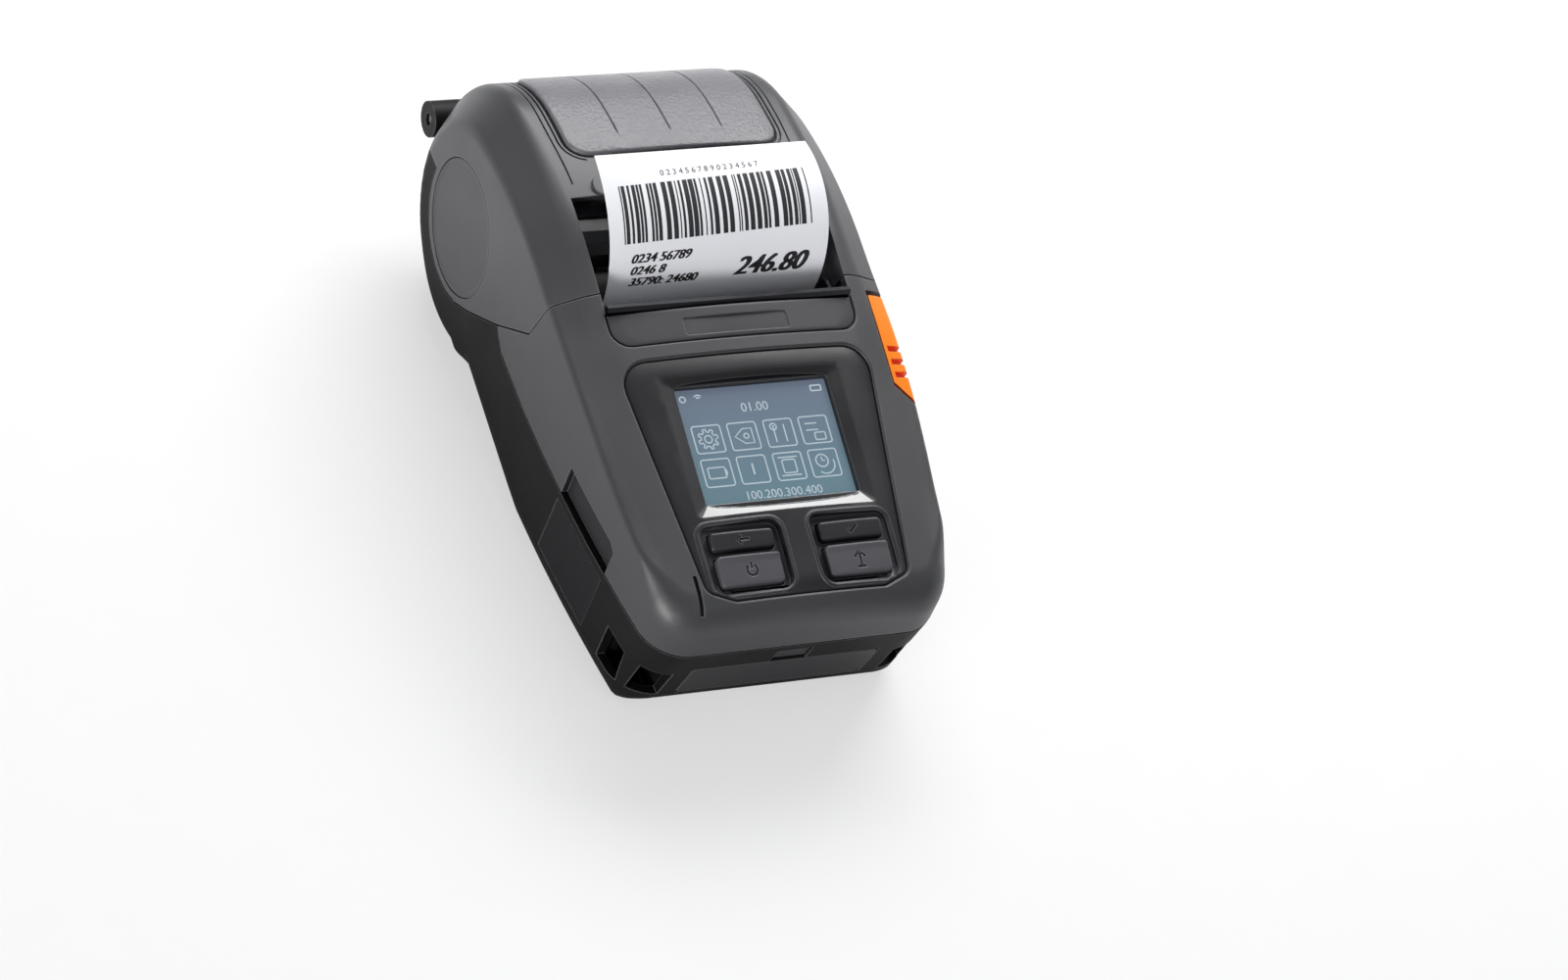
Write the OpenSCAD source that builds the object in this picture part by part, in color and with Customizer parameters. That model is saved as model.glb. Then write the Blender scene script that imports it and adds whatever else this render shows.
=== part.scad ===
// Portable barcode label printer, lying on its back.
// +Z up, +Y towards the roll end, X across the width. The origin is on the rest plane,
// in the middle of the width, straight below the axis of the paper roll.

/* [Body] */
// Width over the two cheeks at the roll end
body_w = 82.6; // [80:0.2:90]
// Width across the front corners, where the sides have drawn in
front_w = 73; // [71:0.5:76]
// From the roll axis to the front face
front_reach = 122.2; // [119:0.2:128]
// Outer radius of the round roll end
bulge_r = 32.5; // [32:0.1:35]
// Tilt of the deck against the underside, in degrees
deck_tilt = 15; // [13:0.5:16]
// Height of the deck plane over the roll axis, square to the deck
deck_up = 39; // [38:0.2:41]
// From the screen datum to the roll axis, along the deck
deck_back = 60; // [59:0.2:63]
// Where the deck starts to round into the roll end, from the screen datum
crest = 30; // [26:1:32]
// Height of the seam between the two housings
seam_z = 26; // [25:0.2:27]
// Wall of the plastic housings
wall = 2.2; // [1.8:0.1:2.6]
// Rounding between the deck and the front face
nose_r = 8; // [6:0.5:9]
// Corner radius of the body in plan
corner_r = 9; // [7:0.5:10]
// Gap between two housing parts
seam_gap = 0.4; // [0.3:0.05:0.5]

/* [Bevels] */
// Half width of the flat top at the roll end
ridge_rear = 33.2; // [32.6:0.1:34]
// Half width of the flat top at the front
ridge_front = 27; // [26.4:0.1:28]
// Depth of the bevel round the roll end
bevel_rear = 8.5; // [7:0.25:9]
// Depth of the bevel at the front
bevel_front = 1.8; // [1.4:0.1:2.6]
// Depth of the bevel half way along the deck
bevel_mid = 3.7; // [3.4:0.1:4.2]
// How far the deck's edges lie below its middle
crown = 1.8; // [1:0.1:2]
// Inset of the small bevel along the underside
sill_w = 3.2; // [2:0.2:3.6]
// Height of the small bevel along the underside
sill_h = 5; // [4:0.25:6]

/* [Cover] */
// Half width of the label exit between the cheeks
bay_half = 30.6; // [30.2:0.1:31]
// Front end of the cover, from the screen datum
cover_front = 23.6; // [23:0.2:25]
// Front lip over the roll, from the screen datum
lip_y = 48; // [46:0.5:50]
// Radius of the round lower edge of the cover's sides
cheek_r = 18.2; // [17.8:0.1:18.6]
// Radius of the round plate let into each side
disc_r = 16.2; // [15:0.2:16.4]
// Thickness of the side disc
disc_t = 1; // [0.8:0.1:1.4]
// Half width of the window
window_half = 26.5; // [25:0.5:27]
// First angle of the window round the roll axis, in degrees
window_a0 = 42; // [38:1:48]
// Last angle of the window round the roll axis, in degrees
window_a1 = 106; // [102:1:108]
// How far the window stands proud
window_rise = 0.7; // [0.5:0.1:1]
// Hinge barrel radius
barrel_r = 4.3; // [4:0.1:4.6]
// Hinge pin radius
hinge_pin_r = 1.5; // [1.3:0.1:1.8]
// Half length of the hinge pin
hinge_half = 38; // [36:0.5:38.5]

/* [Media] */
// Width of the paper
media_w = 53; // [48:0.5:53]
// Radius of the paper roll
roll_r = 25; // [22:0.5:25.5]
// Bore radius of the roll core
core_r = 6.4; // [6.2:0.1:8]
// Wall of the card core
core_wall = 1.4; // [1:0.1:1.8]
// Thickness of the paper
paper_t = 0.3; // [0.25:0.05:0.35]
// Inner radius of the roll tub
tub_r = 28; // [27.6:0.1:28.2]
// Wall of the tub
tub_wall = 1.7; // [1.4:0.1:1.8]
// How far each media guide moves outwards
guide_travel = 2.2; // [1.6:0.1:2.3]
// Thickness of a guide
guide_t = 1.2; // [1:0.1:1.3]

/* [Print unit] */
// Radius of the rubber roller
platen_r = 5; // [4.8:0.1:5.2]
// Half length of the rubber roller
platen_half = 27.8; // [27:0.1:27.9]
// Radius of its steel shaft
platen_shaft_r = 2; // [1.8:0.1:2.2]
// Roller axis from the screen datum
platen_y = 29.5; // [29:0.1:30]
// Roller axis below the deck
platen_z = -14.5; // [-15:0.1:-14]
// Gap of the nip that the paper runs through
nip = 0.5; // [0.45:0.05:0.6]
// Gear module
gear_m = 0.5; // [0.48:0.01:0.52]
// Teeth of the motor pinion
pinion_n = 14; // [12:1:15]
// Teeth of the large idler wheel
idler_big_n = 38; // [34:1:40]
// Teeth of the small idler wheel
idler_small_n = 22; // [20:1:22]
// Teeth of the roller gear
platen_n = 24; // [22:1:25]
// Radius of the motor can
motor_r = 9.5; // [8.5:0.25:9.75]
// Length of the motor can
motor_l = 20; // [16:0.5:24]

/* [Screen and keys] */
// Half width of the glass opening
glass_half = 19; // [17.5:0.1:19.5]
// Height of the glass opening
glass_h = 28.3; // [26:0.1:29]
// Depth of the glass below the bezel
glass_depth = 2.1; // [1.8:0.1:2.3]
// Width of the sloping bezel
bezel_w = 3.2; // [2.6:0.1:3.4]
// Half width of the inset panel at its top
panel_half_top = 31.2; // [30.5:0.1:31.4]
// Half width of the inset panel at its foot
panel_half_foot = 24.8; // [24.6:0.1:25.4]
// Top edge of the panel from the screen datum
panel_top = 6; // [5.5:0.1:6.5]
// Foot of the panel from the screen datum
panel_foot = -52.3; // [-53:0.1:-52]
// Width of one key
key_w = 15.4; // [14.4:0.1:15.6]
// Length of the two upper keys
key_short = 4.2; // [3.8:0.1:4.4]
// Length of the two lower keys
key_long = 7; // [6.4:0.1:7.2]
// Travel of a key
key_travel = 0.7; // [0.5:0.05:0.8]
// Free gap round a key
key_gap = 0.3; // [0.25:0.05:0.35]

/* [Lever] */
// Front end of the release lever from the screen datum
lever_y0 = -9.5; // [-11:0.25:-8.5]
// Axis of the latch shaft from the screen datum
latch_y = 12.5; // [12:0.1:13]
// Axis of the latch shaft below the deck
latch_z = -8; // [-8.4:0.1:-7.6]
// Radius of the latch shaft
latch_shaft_r = 2; // [1.8:0.1:2.1]
// Half width at which the lever starts
lever_x0 = 36; // [35.8:0.1:36.4]
// Swing of the lever, in degrees
lever_swing = 7; // [5:0.5:7.5]

/* [Battery and ports] */
// Half width of the battery pack
battery_half = 23; // [21:0.25:23.2]
// Lower face of the battery pack
battery_z = 7.2; // [6.8:0.1:7.6]
// Height of the battery pack
battery_h = 11; // [10:0.25:11.5]
// Rear end of the battery pack, ahead of the roll axis
battery_rear = 66; // [65:0.5:70]
// Rear edge of the port flap, ahead of the roll axis
port_rear = 73.4; // [73:0.2:75]
// Length of the port flap
port_l = 23.6; // [22:0.2:24]
// Lower edge of the port flap
port_z0 = 7.5; // [7:0.1:8.5]
// Upper edge of the port flap
port_z1 = 23.6; // [23:0.1:24]
// Thickness of the rubber flap
flap_t = 2; // [1.8:0.1:2.2]
// Width of a strap eyelet in the corner
eyelet_w = 6.8; // [6.2:0.1:7.2]
// Height of a strap eyelet
eyelet_h = 10; // [9:0.25:10.5]

/* [Hidden] */

smooth = 64;
far = 200;
tilt_c = cos(deck_tilt);
tilt_s = sin(deck_tilt);
half_w = body_w / 2;
roll_c = [0, bulge_r];
hinge_c = [bulge_r + 1, bulge_r + 0.5];
roll_y = (front_reach - hinge_c[0] - barrel_r) / 2;
deck_y = -(deck_back * tilt_c + deck_up * tilt_s);
deck_z = bulge_r - deck_back * tilt_s + deck_up * tilt_c;
blend_r = (pow(deck_back - crest, 2) + pow(deck_up, 2) - pow(bulge_r, 2)) / (2 * (deck_up - bulge_r));
blend_a = atan2(blend_r - deck_up, deck_back - crest) + deck_tilt;
belly_rise = 6.5;
belly_a = 270 - acos((bulge_r - belly_rise) / bulge_r);
belly_y = bulge_r * cos(belly_a);
flat_y0 = -112;
flat_y1 = -60;
foot_rise = 4.5;
taper_y = -50;
taper_l = front_reach - 57;
taper_drop = half_w - front_w / 2;
taper_r = (pow(taper_l, 2) + pow(taper_drop, 2)) / (2 * taper_drop);
latch_c = [latch_y, latch_z];

// A point given along and square to the deck, as it lies in the side view of the body
function dk(y, z) = [deck_y + y * tilt_c - z * tilt_s, deck_z + y * tilt_s + z * tilt_c];
// The same for a list of points
function dks(p) = [for (q = p) dk(q[0], q[1])];
// Points on an arc
function arc(c, r, a0, a1, n) = [for (i = [0:n]) let (a = a0 + (a1 - a0) * i / n) c + r * [cos(a), sin(a)]];
function mix(a, b, k) = a + (b - a) * k;
function unit(v) = v / norm(v);
// Half width of the body at a place along its length
function half_at(y) = half_w - (y > taper_y ? 0 : taper_r - sqrt(pow(taper_r, 2) - pow(y - taper_y, 2)));
// Height of the underside at a place along the length
function sole_at(y) = y < flat_y0 ? (flat_y0 - y) * 0.87 : belly_rise * max(0, min(1, (y - flat_y1) / (belly_y - flat_y1)));
// One rounded corner at b, between a and c
function corner(a, b, c, r) = let (u = unit(a - b), v = unit(c - b), h = acos(u * v) / 2,
    m = b + unit(u + v) * r / sin(h), p = b + u * r / tan(h) - m, q = b + v * r / tan(h) - m,
    a0 = atan2(p[1], p[0]), d = atan2(p[0] * q[1] - p[1] * q[0], p * q))
  [for (i = [0:5]) m + r * [cos(a0 + d * i / 5), sin(a0 + d * i / 5)]];
// A closed outline with rounded corners; each point is given as x, y and radius
function rounded(p) = [for (i = [0:len(p) - 1]) let (n = len(p), a = p[(i + n - 1) % n], b = p[i], c = p[(i + 1) % n])
    each (b[2] > 0 ? corner([a[0], a[1]], [b[0], b[1]], [c[0], c[1]], b[2]) : [[b[0], b[1]]])];
function flip(p) = [for (i = [len(p) - 1:-1:0]) [-p[i][0], p[i][1]]];

// Centre of the rounding between deck and front face
nose_y = (nose_r - front_reach - deck_y - nose_r * tilt_s) / tilt_c;
nose_c = dk(nose_y, -nose_r);
blend_c = dk(crest, -blend_r);

// Side outline of the body, drawn t inside its outer skin
function side_points(t) = concat(
  arc(roll_c, bulge_r - t, belly_a, 360 + blend_a, 36),
  arc(blend_c, blend_r - t, blend_a, 90 + deck_tilt, 6),
  arc(nose_c, nose_r - t, 90 + deck_tilt, 180, 6),
  [[t - front_reach, seam_z], [t - front_reach + 5.2, foot_rise + t / 2],
   [flat_y0 + t / 2, t], [flat_y1, t]]);

// Plan outline of the body, from the roll end round the front, drawn t inside
function plan_half(t) = concat([[half_w - t, far / 4]],
  [for (i = [0:6]) let (y = taper_y - i * (taper_l - 2) / 6) [half_at(y) - t, y]],
  arc([front_w / 2 + 0.1 - corner_r, corner_r - front_reach - 0.4], corner_r - t, -6, -90, 6));

// Stations of the side bevel: point and outward angle in the side view, then half width of
// the ridge, depth of the ridge and depth of the bevel's outer edge
function bevel_stations() = concat(
  [[roll_c + bulge_r * [cos(belly_a - 7), sin(belly_a - 7)], belly_a - 7, half_w + 1, 0, -1]],
  [for (i = [0:5]) let (a = mix(belly_a + 4, 300, i / 5))
    [roll_c + bulge_r * [cos(a), sin(a)], a, ridge_rear + mix(3.4, 0, i / 5), 0, mix(5, bevel_rear, i / 5)]],
  [for (i = [1:14]) let (a = mix(300, 350 + blend_a, i / 14))
    [roll_c + bulge_r * [cos(a), sin(a)], a, ridge_rear, 0, bevel_rear]],
  [for (i = [0:6]) let (a = mix(blend_a, 90 + deck_tilt, i / 6))
    [blend_c + blend_r * [cos(a), sin(a)], a, ridge_rear, mix(0.8, crown, sqrt(i / 6)), mix(bevel_rear, bevel_rear - 1.4, i / 6)]],
  [for (y = [25, 19, 13, 7, 0, -7, -15, -23, -31, -38, -44, nose_y]) let (k = max(0, min(1, (10 - y) / (10 - nose_y))))
    [dk(y, 0), 90 + deck_tilt, mix(ridge_rear, ridge_front, k), crown * mix(1, 0.62, pow(k, 2)),
     lookup(y, [[nose_y, bevel_front], [-30, bevel_mid - 0.3], [-5, bevel_mid], [9, bevel_mid + 0.9], [crest, bevel_rear - 1.4]])]],
  [for (i = [1:4]) let (a = mix(90 + deck_tilt, 180, i / 4))
    [nose_c + nose_r * [cos(a), sin(a)], a, ridge_front, mix(0.62 * crown, 0.1, i / 4), mix(bevel_front, 0.4, i / 4)]],
  [[[-front_reach, nose_c[1] - 9], 180, ridge_front, -0.4, -0.3]]);

// A solid run through a list of closed sections, each a list of points in space
module loft(rings) {
  n = len(rings);
  m = len(rings[0]);
  faces = concat([[for (j = [0:m - 1]) j]], [[for (j = [m - 1:-1:0]) (n - 1) * m + j]],
    [for (i = [0:n - 2], j = [0:m - 1]) let (a = m * i + j, b = m * i + (j + 1) % m) [b, a, a + m]],
    [for (i = [0:n - 2], j = [0:m - 1]) let (a = m * i + j, b = m * i + (j + 1) % m) [b, a + m, b + m]]);
  polyhedron([for (r = rings) each r], faces);
}

// Sections given as width and rise over each station
function raise(s, q) = let (d = [cos(s[1]), sin(s[1])]) [for (p = q) [p[0], s[0][0] + d[0] * p[1], s[0][1] + d[1] * p[1]]];

// Everything outside the bevel on the right-hand side
module bevel_wedge(t) loft([for (s = bevel_stations())
  let (xr = s[2] - t / 2, xo = half_at(s[0][0]) + 3, k = (s[4] - s[3]) / abs(xo - 3 - s[2]))
  raise(s, [[xr - 3, 3 * k - s[3] - t], [xo, -s[3] - t - k * (xo - xr)], [xo, 4], [xr - 3, 4]])]);

// Everything above the slightly rounded deck on the right-hand side
module crown_wedge(t) {
  st = bevel_stations();
  first = 20;
  loft([for (i = [first:len(st) - 1]) let (s = st[i], c = i == first ? -0.6 : s[3], w = s[2])
    raise(s, [[4, 0.08 - t], [w * 0.5, -c * 0.25 - t], [w * 0.78, -c * 0.61 - t], [w * 1.1, -c * 1.21 - t], [w * 1.1, 4], [4, 4]])]);
}

// The small bevel along the underside, on the right-hand side
module sill_wedge(t) loft([for (y = [-7, belly_y, -32, -44, flat_y1, -74, -88, -100, flat_y0, -118, -128])
  let (h = half_at(y) - t + (y > -10 ? 7 : 0), z = sole_at(y) + t, k = sill_h / sill_w)
  [[h + 4, y, z - 4 * k], [h + 4, y, z + sill_h + 4 * k], [h - sill_w - 4, y, z - 4 * k]]]);

// The same on both sides
module both() {
  children();
  mirror([1, 0, 0]) children();
}
// Brings a piece from the roll axis to the shared origin
module place() translate([0, roll_y, 0]) children();
// A side-view outline carried across the width
module along_x(x0, x1) translate([x0, 0, 0]) rotate([90, 0, 90]) linear_extrude(x1 - x0) children();
module slab(x0, x1, p) along_x(x0, x1) polygon(p);
// A round bar across the width
module bar(c, r, x0, x1) translate([x0, c[0], c[1]]) rotate([0, 90, 0]) cylinder(r = r, h = x1 - x0, $fn = smooth);
module tube(c, r1, r0, x0, x1) difference() {
  bar(c, r1, x0, x1);
  bar(c, r0, x0 - 1, x1 + 1);
}
// Anything drawn on the deck, with its own z square to the deck
module on_deck() translate([0, deck_y, deck_z]) rotate([deck_tilt, 0, 0]) children();
module deck_plate(p, z0, z1) on_deck() translate([0, 0, z0]) linear_extrude(z1 - z0) polygon(p);
module deck_box(x0, x1, y0, y1, z0, z1) on_deck() translate([x0, y0, z0]) cube([x1 - x0, y1 - y0, z1 - z0]);
module box(x0, x1, y0, y1, z0, z1) translate([x0, y0, z0]) cube([x1 - x0, y1 - y0, z1 - z0]);
module post(x, y, z0, z1, r) translate([x, y, z0]) cylinder(r = r, h = z1 - z0, $fn = smooth);
module deck_post(x, y, z0, z1, r) on_deck() translate([x, y, z0]) cylinder(r = r, h = z1 - z0, $fn = smooth);

// The body's outer form, t inside its skin
module form(t) difference() {
  intersection() {
    along_x(-far / 2, far / 2) polygon(side_points(t));
    linear_extrude(far / 2) polygon(concat(plan_half(t), flip(plan_half(t))));
  }
  both() {
    bevel_wedge(t);
    crown_wedge(t);
    sill_wedge(t);
  }
}

// Side view of the cover: its front edges, the round lower edge of its sides and its rear end,
// drawn g inside
function cover_points(g) = concat(
  [for (q = [dk(cover_front, 12), [-43.7, 52.9], [-40.8, 41.7], [-27.9, 30.2], [-14.8, 20.2], [-8, 15.9]]) q + g * [0.8, 0.6]],
  arc(roll_c, cheek_r - g, 246, 363, 24),
  [[60, bulge_r + 1 + g], [60, 100]]);
module cover_side(x0, x1, g) slab(x0, x1, cover_points(g));

// Gear with teeth cut to an involute, thinned by half the backlash on each flank
function inv_point(rb, r, sgn, a) = let (q = sqrt(max(0, pow(r / rb, 2) - 1)), w = a + sgn * (q * 180 / PI - atan(q))) r * [cos(w), sin(w)];
module gear(n, bore_r, x0, x1, c, turn) {
  rp = gear_m * n / 2;
  rb = rp * cos(20);
  rt = rp + gear_m * 0.9;
  rf = rp - gear_m * 1.15;
  lean = tan(20) * 180 / PI - 20;
  half = 90 / n - 0.09 * 180 / PI / rp + lean;
  pts = [for (i = [0:n - 1]) let (a = turn + i * 360 / n) each [
    rf * [cos(a - half - 1), sin(a - half - 1)], inv_point(rb, max(rb, rf), 1, a - half),
    inv_point(rb, rp, 1, a - half), inv_point(rb, rt, 1, a - half),
    inv_point(rb, rt, -1, a + half), inv_point(rb, rp, -1, a + half),
    inv_point(rb, max(rb, rf), -1, a + half), rf * [cos(a + half + 1), sin(a + half + 1)]]];
  translate([x0, c[0], c[1]]) rotate([90, 0, 90]) linear_extrude(x1 - x0) difference() {
    polygon(pts);
    if (bore_r > 0) circle(r = bore_r, $fn = smooth);
  }
}

// Places of the gear train, seen from the side
platen_c = dk(platen_y, platen_z);
open_dir = unit([platen_c[1] - hinge_c[1], hinge_c[0] - platen_c[0]]);
open_a = atan2(open_dir[1], open_dir[0]);
bush_r = 3;
mesh_1 = gear_m * (platen_n + idler_small_n) / 2 + 0.06;
mesh_2 = gear_m * (idler_big_n + pinion_n) / 2 + 0.06;
idler_c = platen_c - mesh_1 * open_dir;
motor_dir = -115 + deck_tilt;
motor_c = idler_c + mesh_2 * [cos(motor_dir), sin(motor_dir)];
platen_shaft_end = 34.9;
gear_in = 33;
gear_mid = 34.8;
gear_out = 35.1;
gear_end = 36.6;

// Inner plane of the port pocket, just behind the flap at its narrower end
port_in = half_at(-port_rear - port_l) - flap_t - 0.2;
// Plan places of the housing screws
screw_rear = [half_at(-62) - 5.85, -62];

// Windows, pockets and outlines on the deck
panel_out = rounded([[-panel_half_top, panel_top, 6], [-panel_half_foot, panel_foot + 2.5, 3],
  [-18.5, panel_foot, 3], [18.5, panel_foot, 3], [panel_half_foot, panel_foot + 2.5, 3], [panel_half_top, panel_top, 6]]);
function inset_panel(g) = rounded([[g - panel_half_top, panel_top - g, 6 - g], [g - panel_half_foot, panel_foot + 2.5 + g, 2],
  [-18.5, panel_foot + g, 2], [18.5, panel_foot + g, 2], [panel_half_foot - g, panel_foot + 2.5 + g, 2], [panel_half_top - g, panel_top - g, 6 - g]]);
function plate_points(g) = rounded([[-bay_half - g, 18.1 + g, 0], [-bay_half - g, 10 - g, 4.5], [bay_half + g, 10 - g, 4.5], [bay_half + g, 18.1 + g, 0]]);
glass_y1 = -0.8;
glass_y0 = glass_y1 - glass_h;
key_x = 13.4;
key_short_y = -36.4 - key_short / 2;
key_long_y = -42.2 - key_long / 2;
key_floor = -3.7;
pocket_t = 1.5;

// Front plate and panel pockets share this depth below the skin
module deck_sheet(p, t0, t1) difference() {
  intersection() {
    form(t0);
    deck_plate(p, -12, 5);
  }
  form(t1);
}

module lower_housing() color("#333336") place() difference() {
  union() {
    difference() {
      intersection() {
        form(0);
        slab(-far / 2, far / 2, [[-140, -5], [60, -5], [60, bulge_r + 0.6], [18, bulge_r + 0.6], [-27.9, 30.2],
          [-33.5, 27 - seam_gap / 2], [-50, seam_z - seam_gap / 2], [-140, seam_z - seam_gap / 2]]);
      }
      form(wall);
      cover_side(-far / 2, far / 2, 0);
      bar(hinge_c, barrel_r + 0.3, 11.6, 30);
      bar(hinge_c, barrel_r + 0.3, -30, -11.6);
    }
    both() {
      post(screw_rear[0], screw_rear[1], 0.5, 25.9, 2.7);
      post(32.6, -101.5, 0.5, 25.9, 2.7);
      box(14, 16, -112, -68, 1.5, battery_z - 0.15);
      slab(26, 27, [[-103, 1.5], [-112, 1.5], [-116, 5.5], [-120, 24], [-103, 24]]);
      box(4.6, 8.2, -119.5, -114.8, 18.7, 25.4);
      bar(hinge_c, barrel_r, 30.2, hinge_half);
    }
    post(0, -30.5, 5, 9.2, 3.4);
    post(0, -30.5, 5, 12.4, 1.2);
    box(-port_in, 1.1 - port_in, -98.6, -71.8, 1.8, 25.4);
    box(-1.4 - port_in, 0.6 - port_in, -98.6, -97.2, 5.6, 25.4);
    box(-3.2 - port_in, 0.6 - port_in, -73.2, -71.8, 5.6, 25.4);
    bar(hinge_c, barrel_r, -11.4, 11.4);
  }
  bar(hinge_c, hinge_pin_r + 0.02, -hinge_half - 1, hinge_half + 1);
  both() {
    post(screw_rear[0], screw_rear[1], -1, 27, 1.25);
    post(screw_rear[0], screw_rear[1], -1, 2.6, 2.5);
    post(32.6, -101.5, -1, 27, 1.25);
    post(32.6, -101.5, -1, 2.6, 2.5);
    box(27.6, 27.6 + eyelet_w, -126, -113, 17.2 - eyelet_h, 17.2);
    box(32, 44, -112.6, -105, 17.2 - eyelet_h, 17.2);
  }
  box(-battery_half - 0.3, battery_half + 0.3, -126, -114, battery_z - 0.3, battery_z + battery_h + 0.3);
  box(-4.4, 4.4, -126, -114.5, 18.2, 23.9);
  box(-6.9, 6.9, -117.6, -114.5, 19.3, 23.9);
  box(-44, -port_in, -port_rear - port_l, -port_rear, port_z0, port_z1);
  box(-1.4 - port_in, 2.6 - port_in, -85.6, -76.2, 13.1, 16.9);
  translate([-1.4 - port_in, -91.4, 15]) rotate([0, 90, 0]) cylinder(r = 3.4, h = 4, $fn = smooth);
}

module upper_housing() color("#4a4a4d") place() difference() {
  union() {
    difference() {
      intersection() {
        form(0);
        slab(-far / 2, far / 2, [[-140, seam_z + seam_gap / 2], [-50, seam_z + seam_gap / 2], [-33.5, 27 + seam_gap / 2], [-27.9, 30.4],
          [-10, 30.4], [-10, 100], [-140, 100]]);
      }
      form(wall);
      cover_side(-far / 2, far / 2, 0);
    }
    both() {
      post(screw_rear[0], screw_rear[1], 25.9, 43, 2.7);
      box(screw_rear[0] + 0.7, half_at(-62) - 1.5, -62.8, -61.2, 25.9, 41);
      post(32.6, -101.5, 25.9, 41, 2.7);
    }
  }
  both() {
    post(screw_rear[0], screw_rear[1], 20, 36, 1.05);
    post(32.6, -101.5, 20, 36, 1.05);
  }
  difference() {
    union() {
      deck_plate(inset_panel(-0.2), -12, 5);
      deck_plate(plate_points(0.2), -12, 5);
      slab(-60, -30, [[-97.4, 25], [-97.4, 33.2], [-95, 34.6], [-73.7, 34.6], [-73.7, 25]]);
    }
    form(pocket_t);
  }
  deck_plate(inset_panel(1.9), -12, 5);
  deck_box(-bay_half, bay_half, 18.3, 40, -14, 8);
  lever_cut();
}

// The lever seen from the side, g larger all round
lever_tail = [14.6, -4.6];
lever_low = -8.1;
function lever_points(g) = concat([[lever_y0 - g * 1.4, 3], [lever_y0 - g * 1.4 + 0.6, lever_low + 1.6 - g], [lever_y0 + 3.4, lever_low - g]],
  arc(lever_tail, 4.3 + g, -56, 90, 8), [[12, 4]]);
module lever_cut() slab(lever_x0 - 0.35, 50, dks(concat([[lever_y0 - 0.55, 4], [lever_y0 - 0.55, -8.4], [lever_y0 + 0.2, -12.2], [latch_y - 6, -9.8]],
  arc(lever_tail, 5.5, -56, 90, 8), [[13, 4]])));

module release_lever() color("#ff9a1a") place() difference() {
  union() {
    intersection() {
      form(0);
      slab(lever_x0, 50, dks(lever_points(0)));
    }
    slab(lever_x0, lever_x0 + 2.2, dks(concat([[2, -7]], arc(latch_c, 4.2, 215, 325, 6), [[18, -6]])));
    slab(lever_x0, lever_x0 + 1.8, dks([[lever_y0 + 0.8, -6], [lever_y0 + 1.8, -11.2], [2, -10.2], [8, -7]]));
  }
  bar(dk(latch_y, latch_z), latch_shaft_r + 0.02, 30, lever_x0 + 2.4);
  on_deck() for (y = [-1, 3, 7]) translate([0, y + 0.6, 0]) rotate([90, 0, 0]) linear_extrude(1.2)
    polygon([[37.2, -4.4], [42, -6.7], [42, 4], [37.2, 4]]);
}

module latch_shaft() color("silver") place() bar(dk(latch_y, latch_z), latch_shaft_r, -32.3, lever_x0 + 2.3);

module latch_hooks() color("gray") place() both() difference() {
  slab(29.5, 30.3, dks(concat(arc(latch_c, 3.4, 80, 300, 10), [[22, -10.6], [27, -11.9], [27.7, -10.6], [25.6, -8.4], [20, -7]])));
  bar(dk(latch_y, latch_z), latch_shaft_r + 0.02, 20, 40);
}

module roll_cover() color("#47474a") place() difference() {
  union() {
    intersection() {
      form(0);
      cover_side(-far / 2, far / 2, seam_gap);
      union() {
        difference() {
          box(-60, 60, -80, 50, -10, 100);
          form(wall);
          slab(-bay_half, bay_half, dks([[0, -40], [lip_y, -40], [lip_y, 12], [0, 12]]));
        }
        both() difference() {
          slab(bay_half, bay_half + 1.6, [[-70, 0], [40, 0], [40, 90], [-70, 90]]);
          slab(bay_half - 1, bay_half + 3, [[20, 10], [60, 10], [60, 38], [30, 38], [20, 30]]);
        }
        both() deck_post(22, 50.6, -8.9, 4, 2.6);
      }
    }
    both() bar(hinge_c, barrel_r, 11.9, 29.7);
  }
  both() {
    bar(hinge_c, barrel_r + 0.3, 29.9, 44);
    deck_post(22, 50.6, -12, -4.2, 1.05);
    bar(roll_c, disc_r + 0.15, half_w - disc_t, 50);
    bar(platen_c, bush_r + 0.3, 30, 33);
  }
  bar(hinge_c, barrel_r + 0.3, -11.7, 11.7);
  bar(hinge_c, hinge_pin_r + 0.06, -44, 44);
  bar(roll_c, disc_r - 1.6, -half_w - 2, -half_w + disc_t + 0.4);
  difference() {
    window_block(0.35);
    form(1);
  }
  window_block(-1.6);
}

// The window's outline, from its rear edge over the crest to its front edge, g larger
module window_block(g) difference() {
  slab(-window_half - g, window_half + g, [for (q = [[window_a0, 20], [window_a0, 48], [60, 50], [75, 50], [90, 50], [window_a1, 48], [window_a1, 20]])
    let (a = q[0], d = a == window_a0 ? -g : (a == window_a1 ? g : 0)) roll_c + q[1] * [cos(a), sin(a)] + d * [-sin(a), cos(a)]]);
  for (e = [[window_a0, -1], [window_a1, 1]]) both()
    translate([0, roll_c[0], roll_c[1]]) rotate([e[0] - 90, 0, 0]) translate([window_half + g, -e[1] * g, 20])
      difference() {
        translate([-5, e[1] > 0 ? -1 : -5, 0]) cube([6, 6, 30]);
        translate([-5, 5 * e[1], -1]) cylinder(r = 5, h = 60, $fn = smooth);
      }
}

module cover_window() color("#b8b8bc") place() difference() {
  intersection() {
    form(-window_rise);
    window_block(0);
  }
  form(1);
}

module side_discs() color("#3d3d40") place() both() bar(roll_c, disc_r, half_w - disc_t, half_w - 0.1);

module radio_tag() color("#c9a24a") place() bar(roll_c, disc_r - 1.9, -half_w + disc_t, -half_w + disc_t + 0.3);

module hinge_pin() color("silver") place() bar(hinge_c, hinge_pin_r, 0.6 - hinge_half, hinge_half - 0.6);

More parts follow.
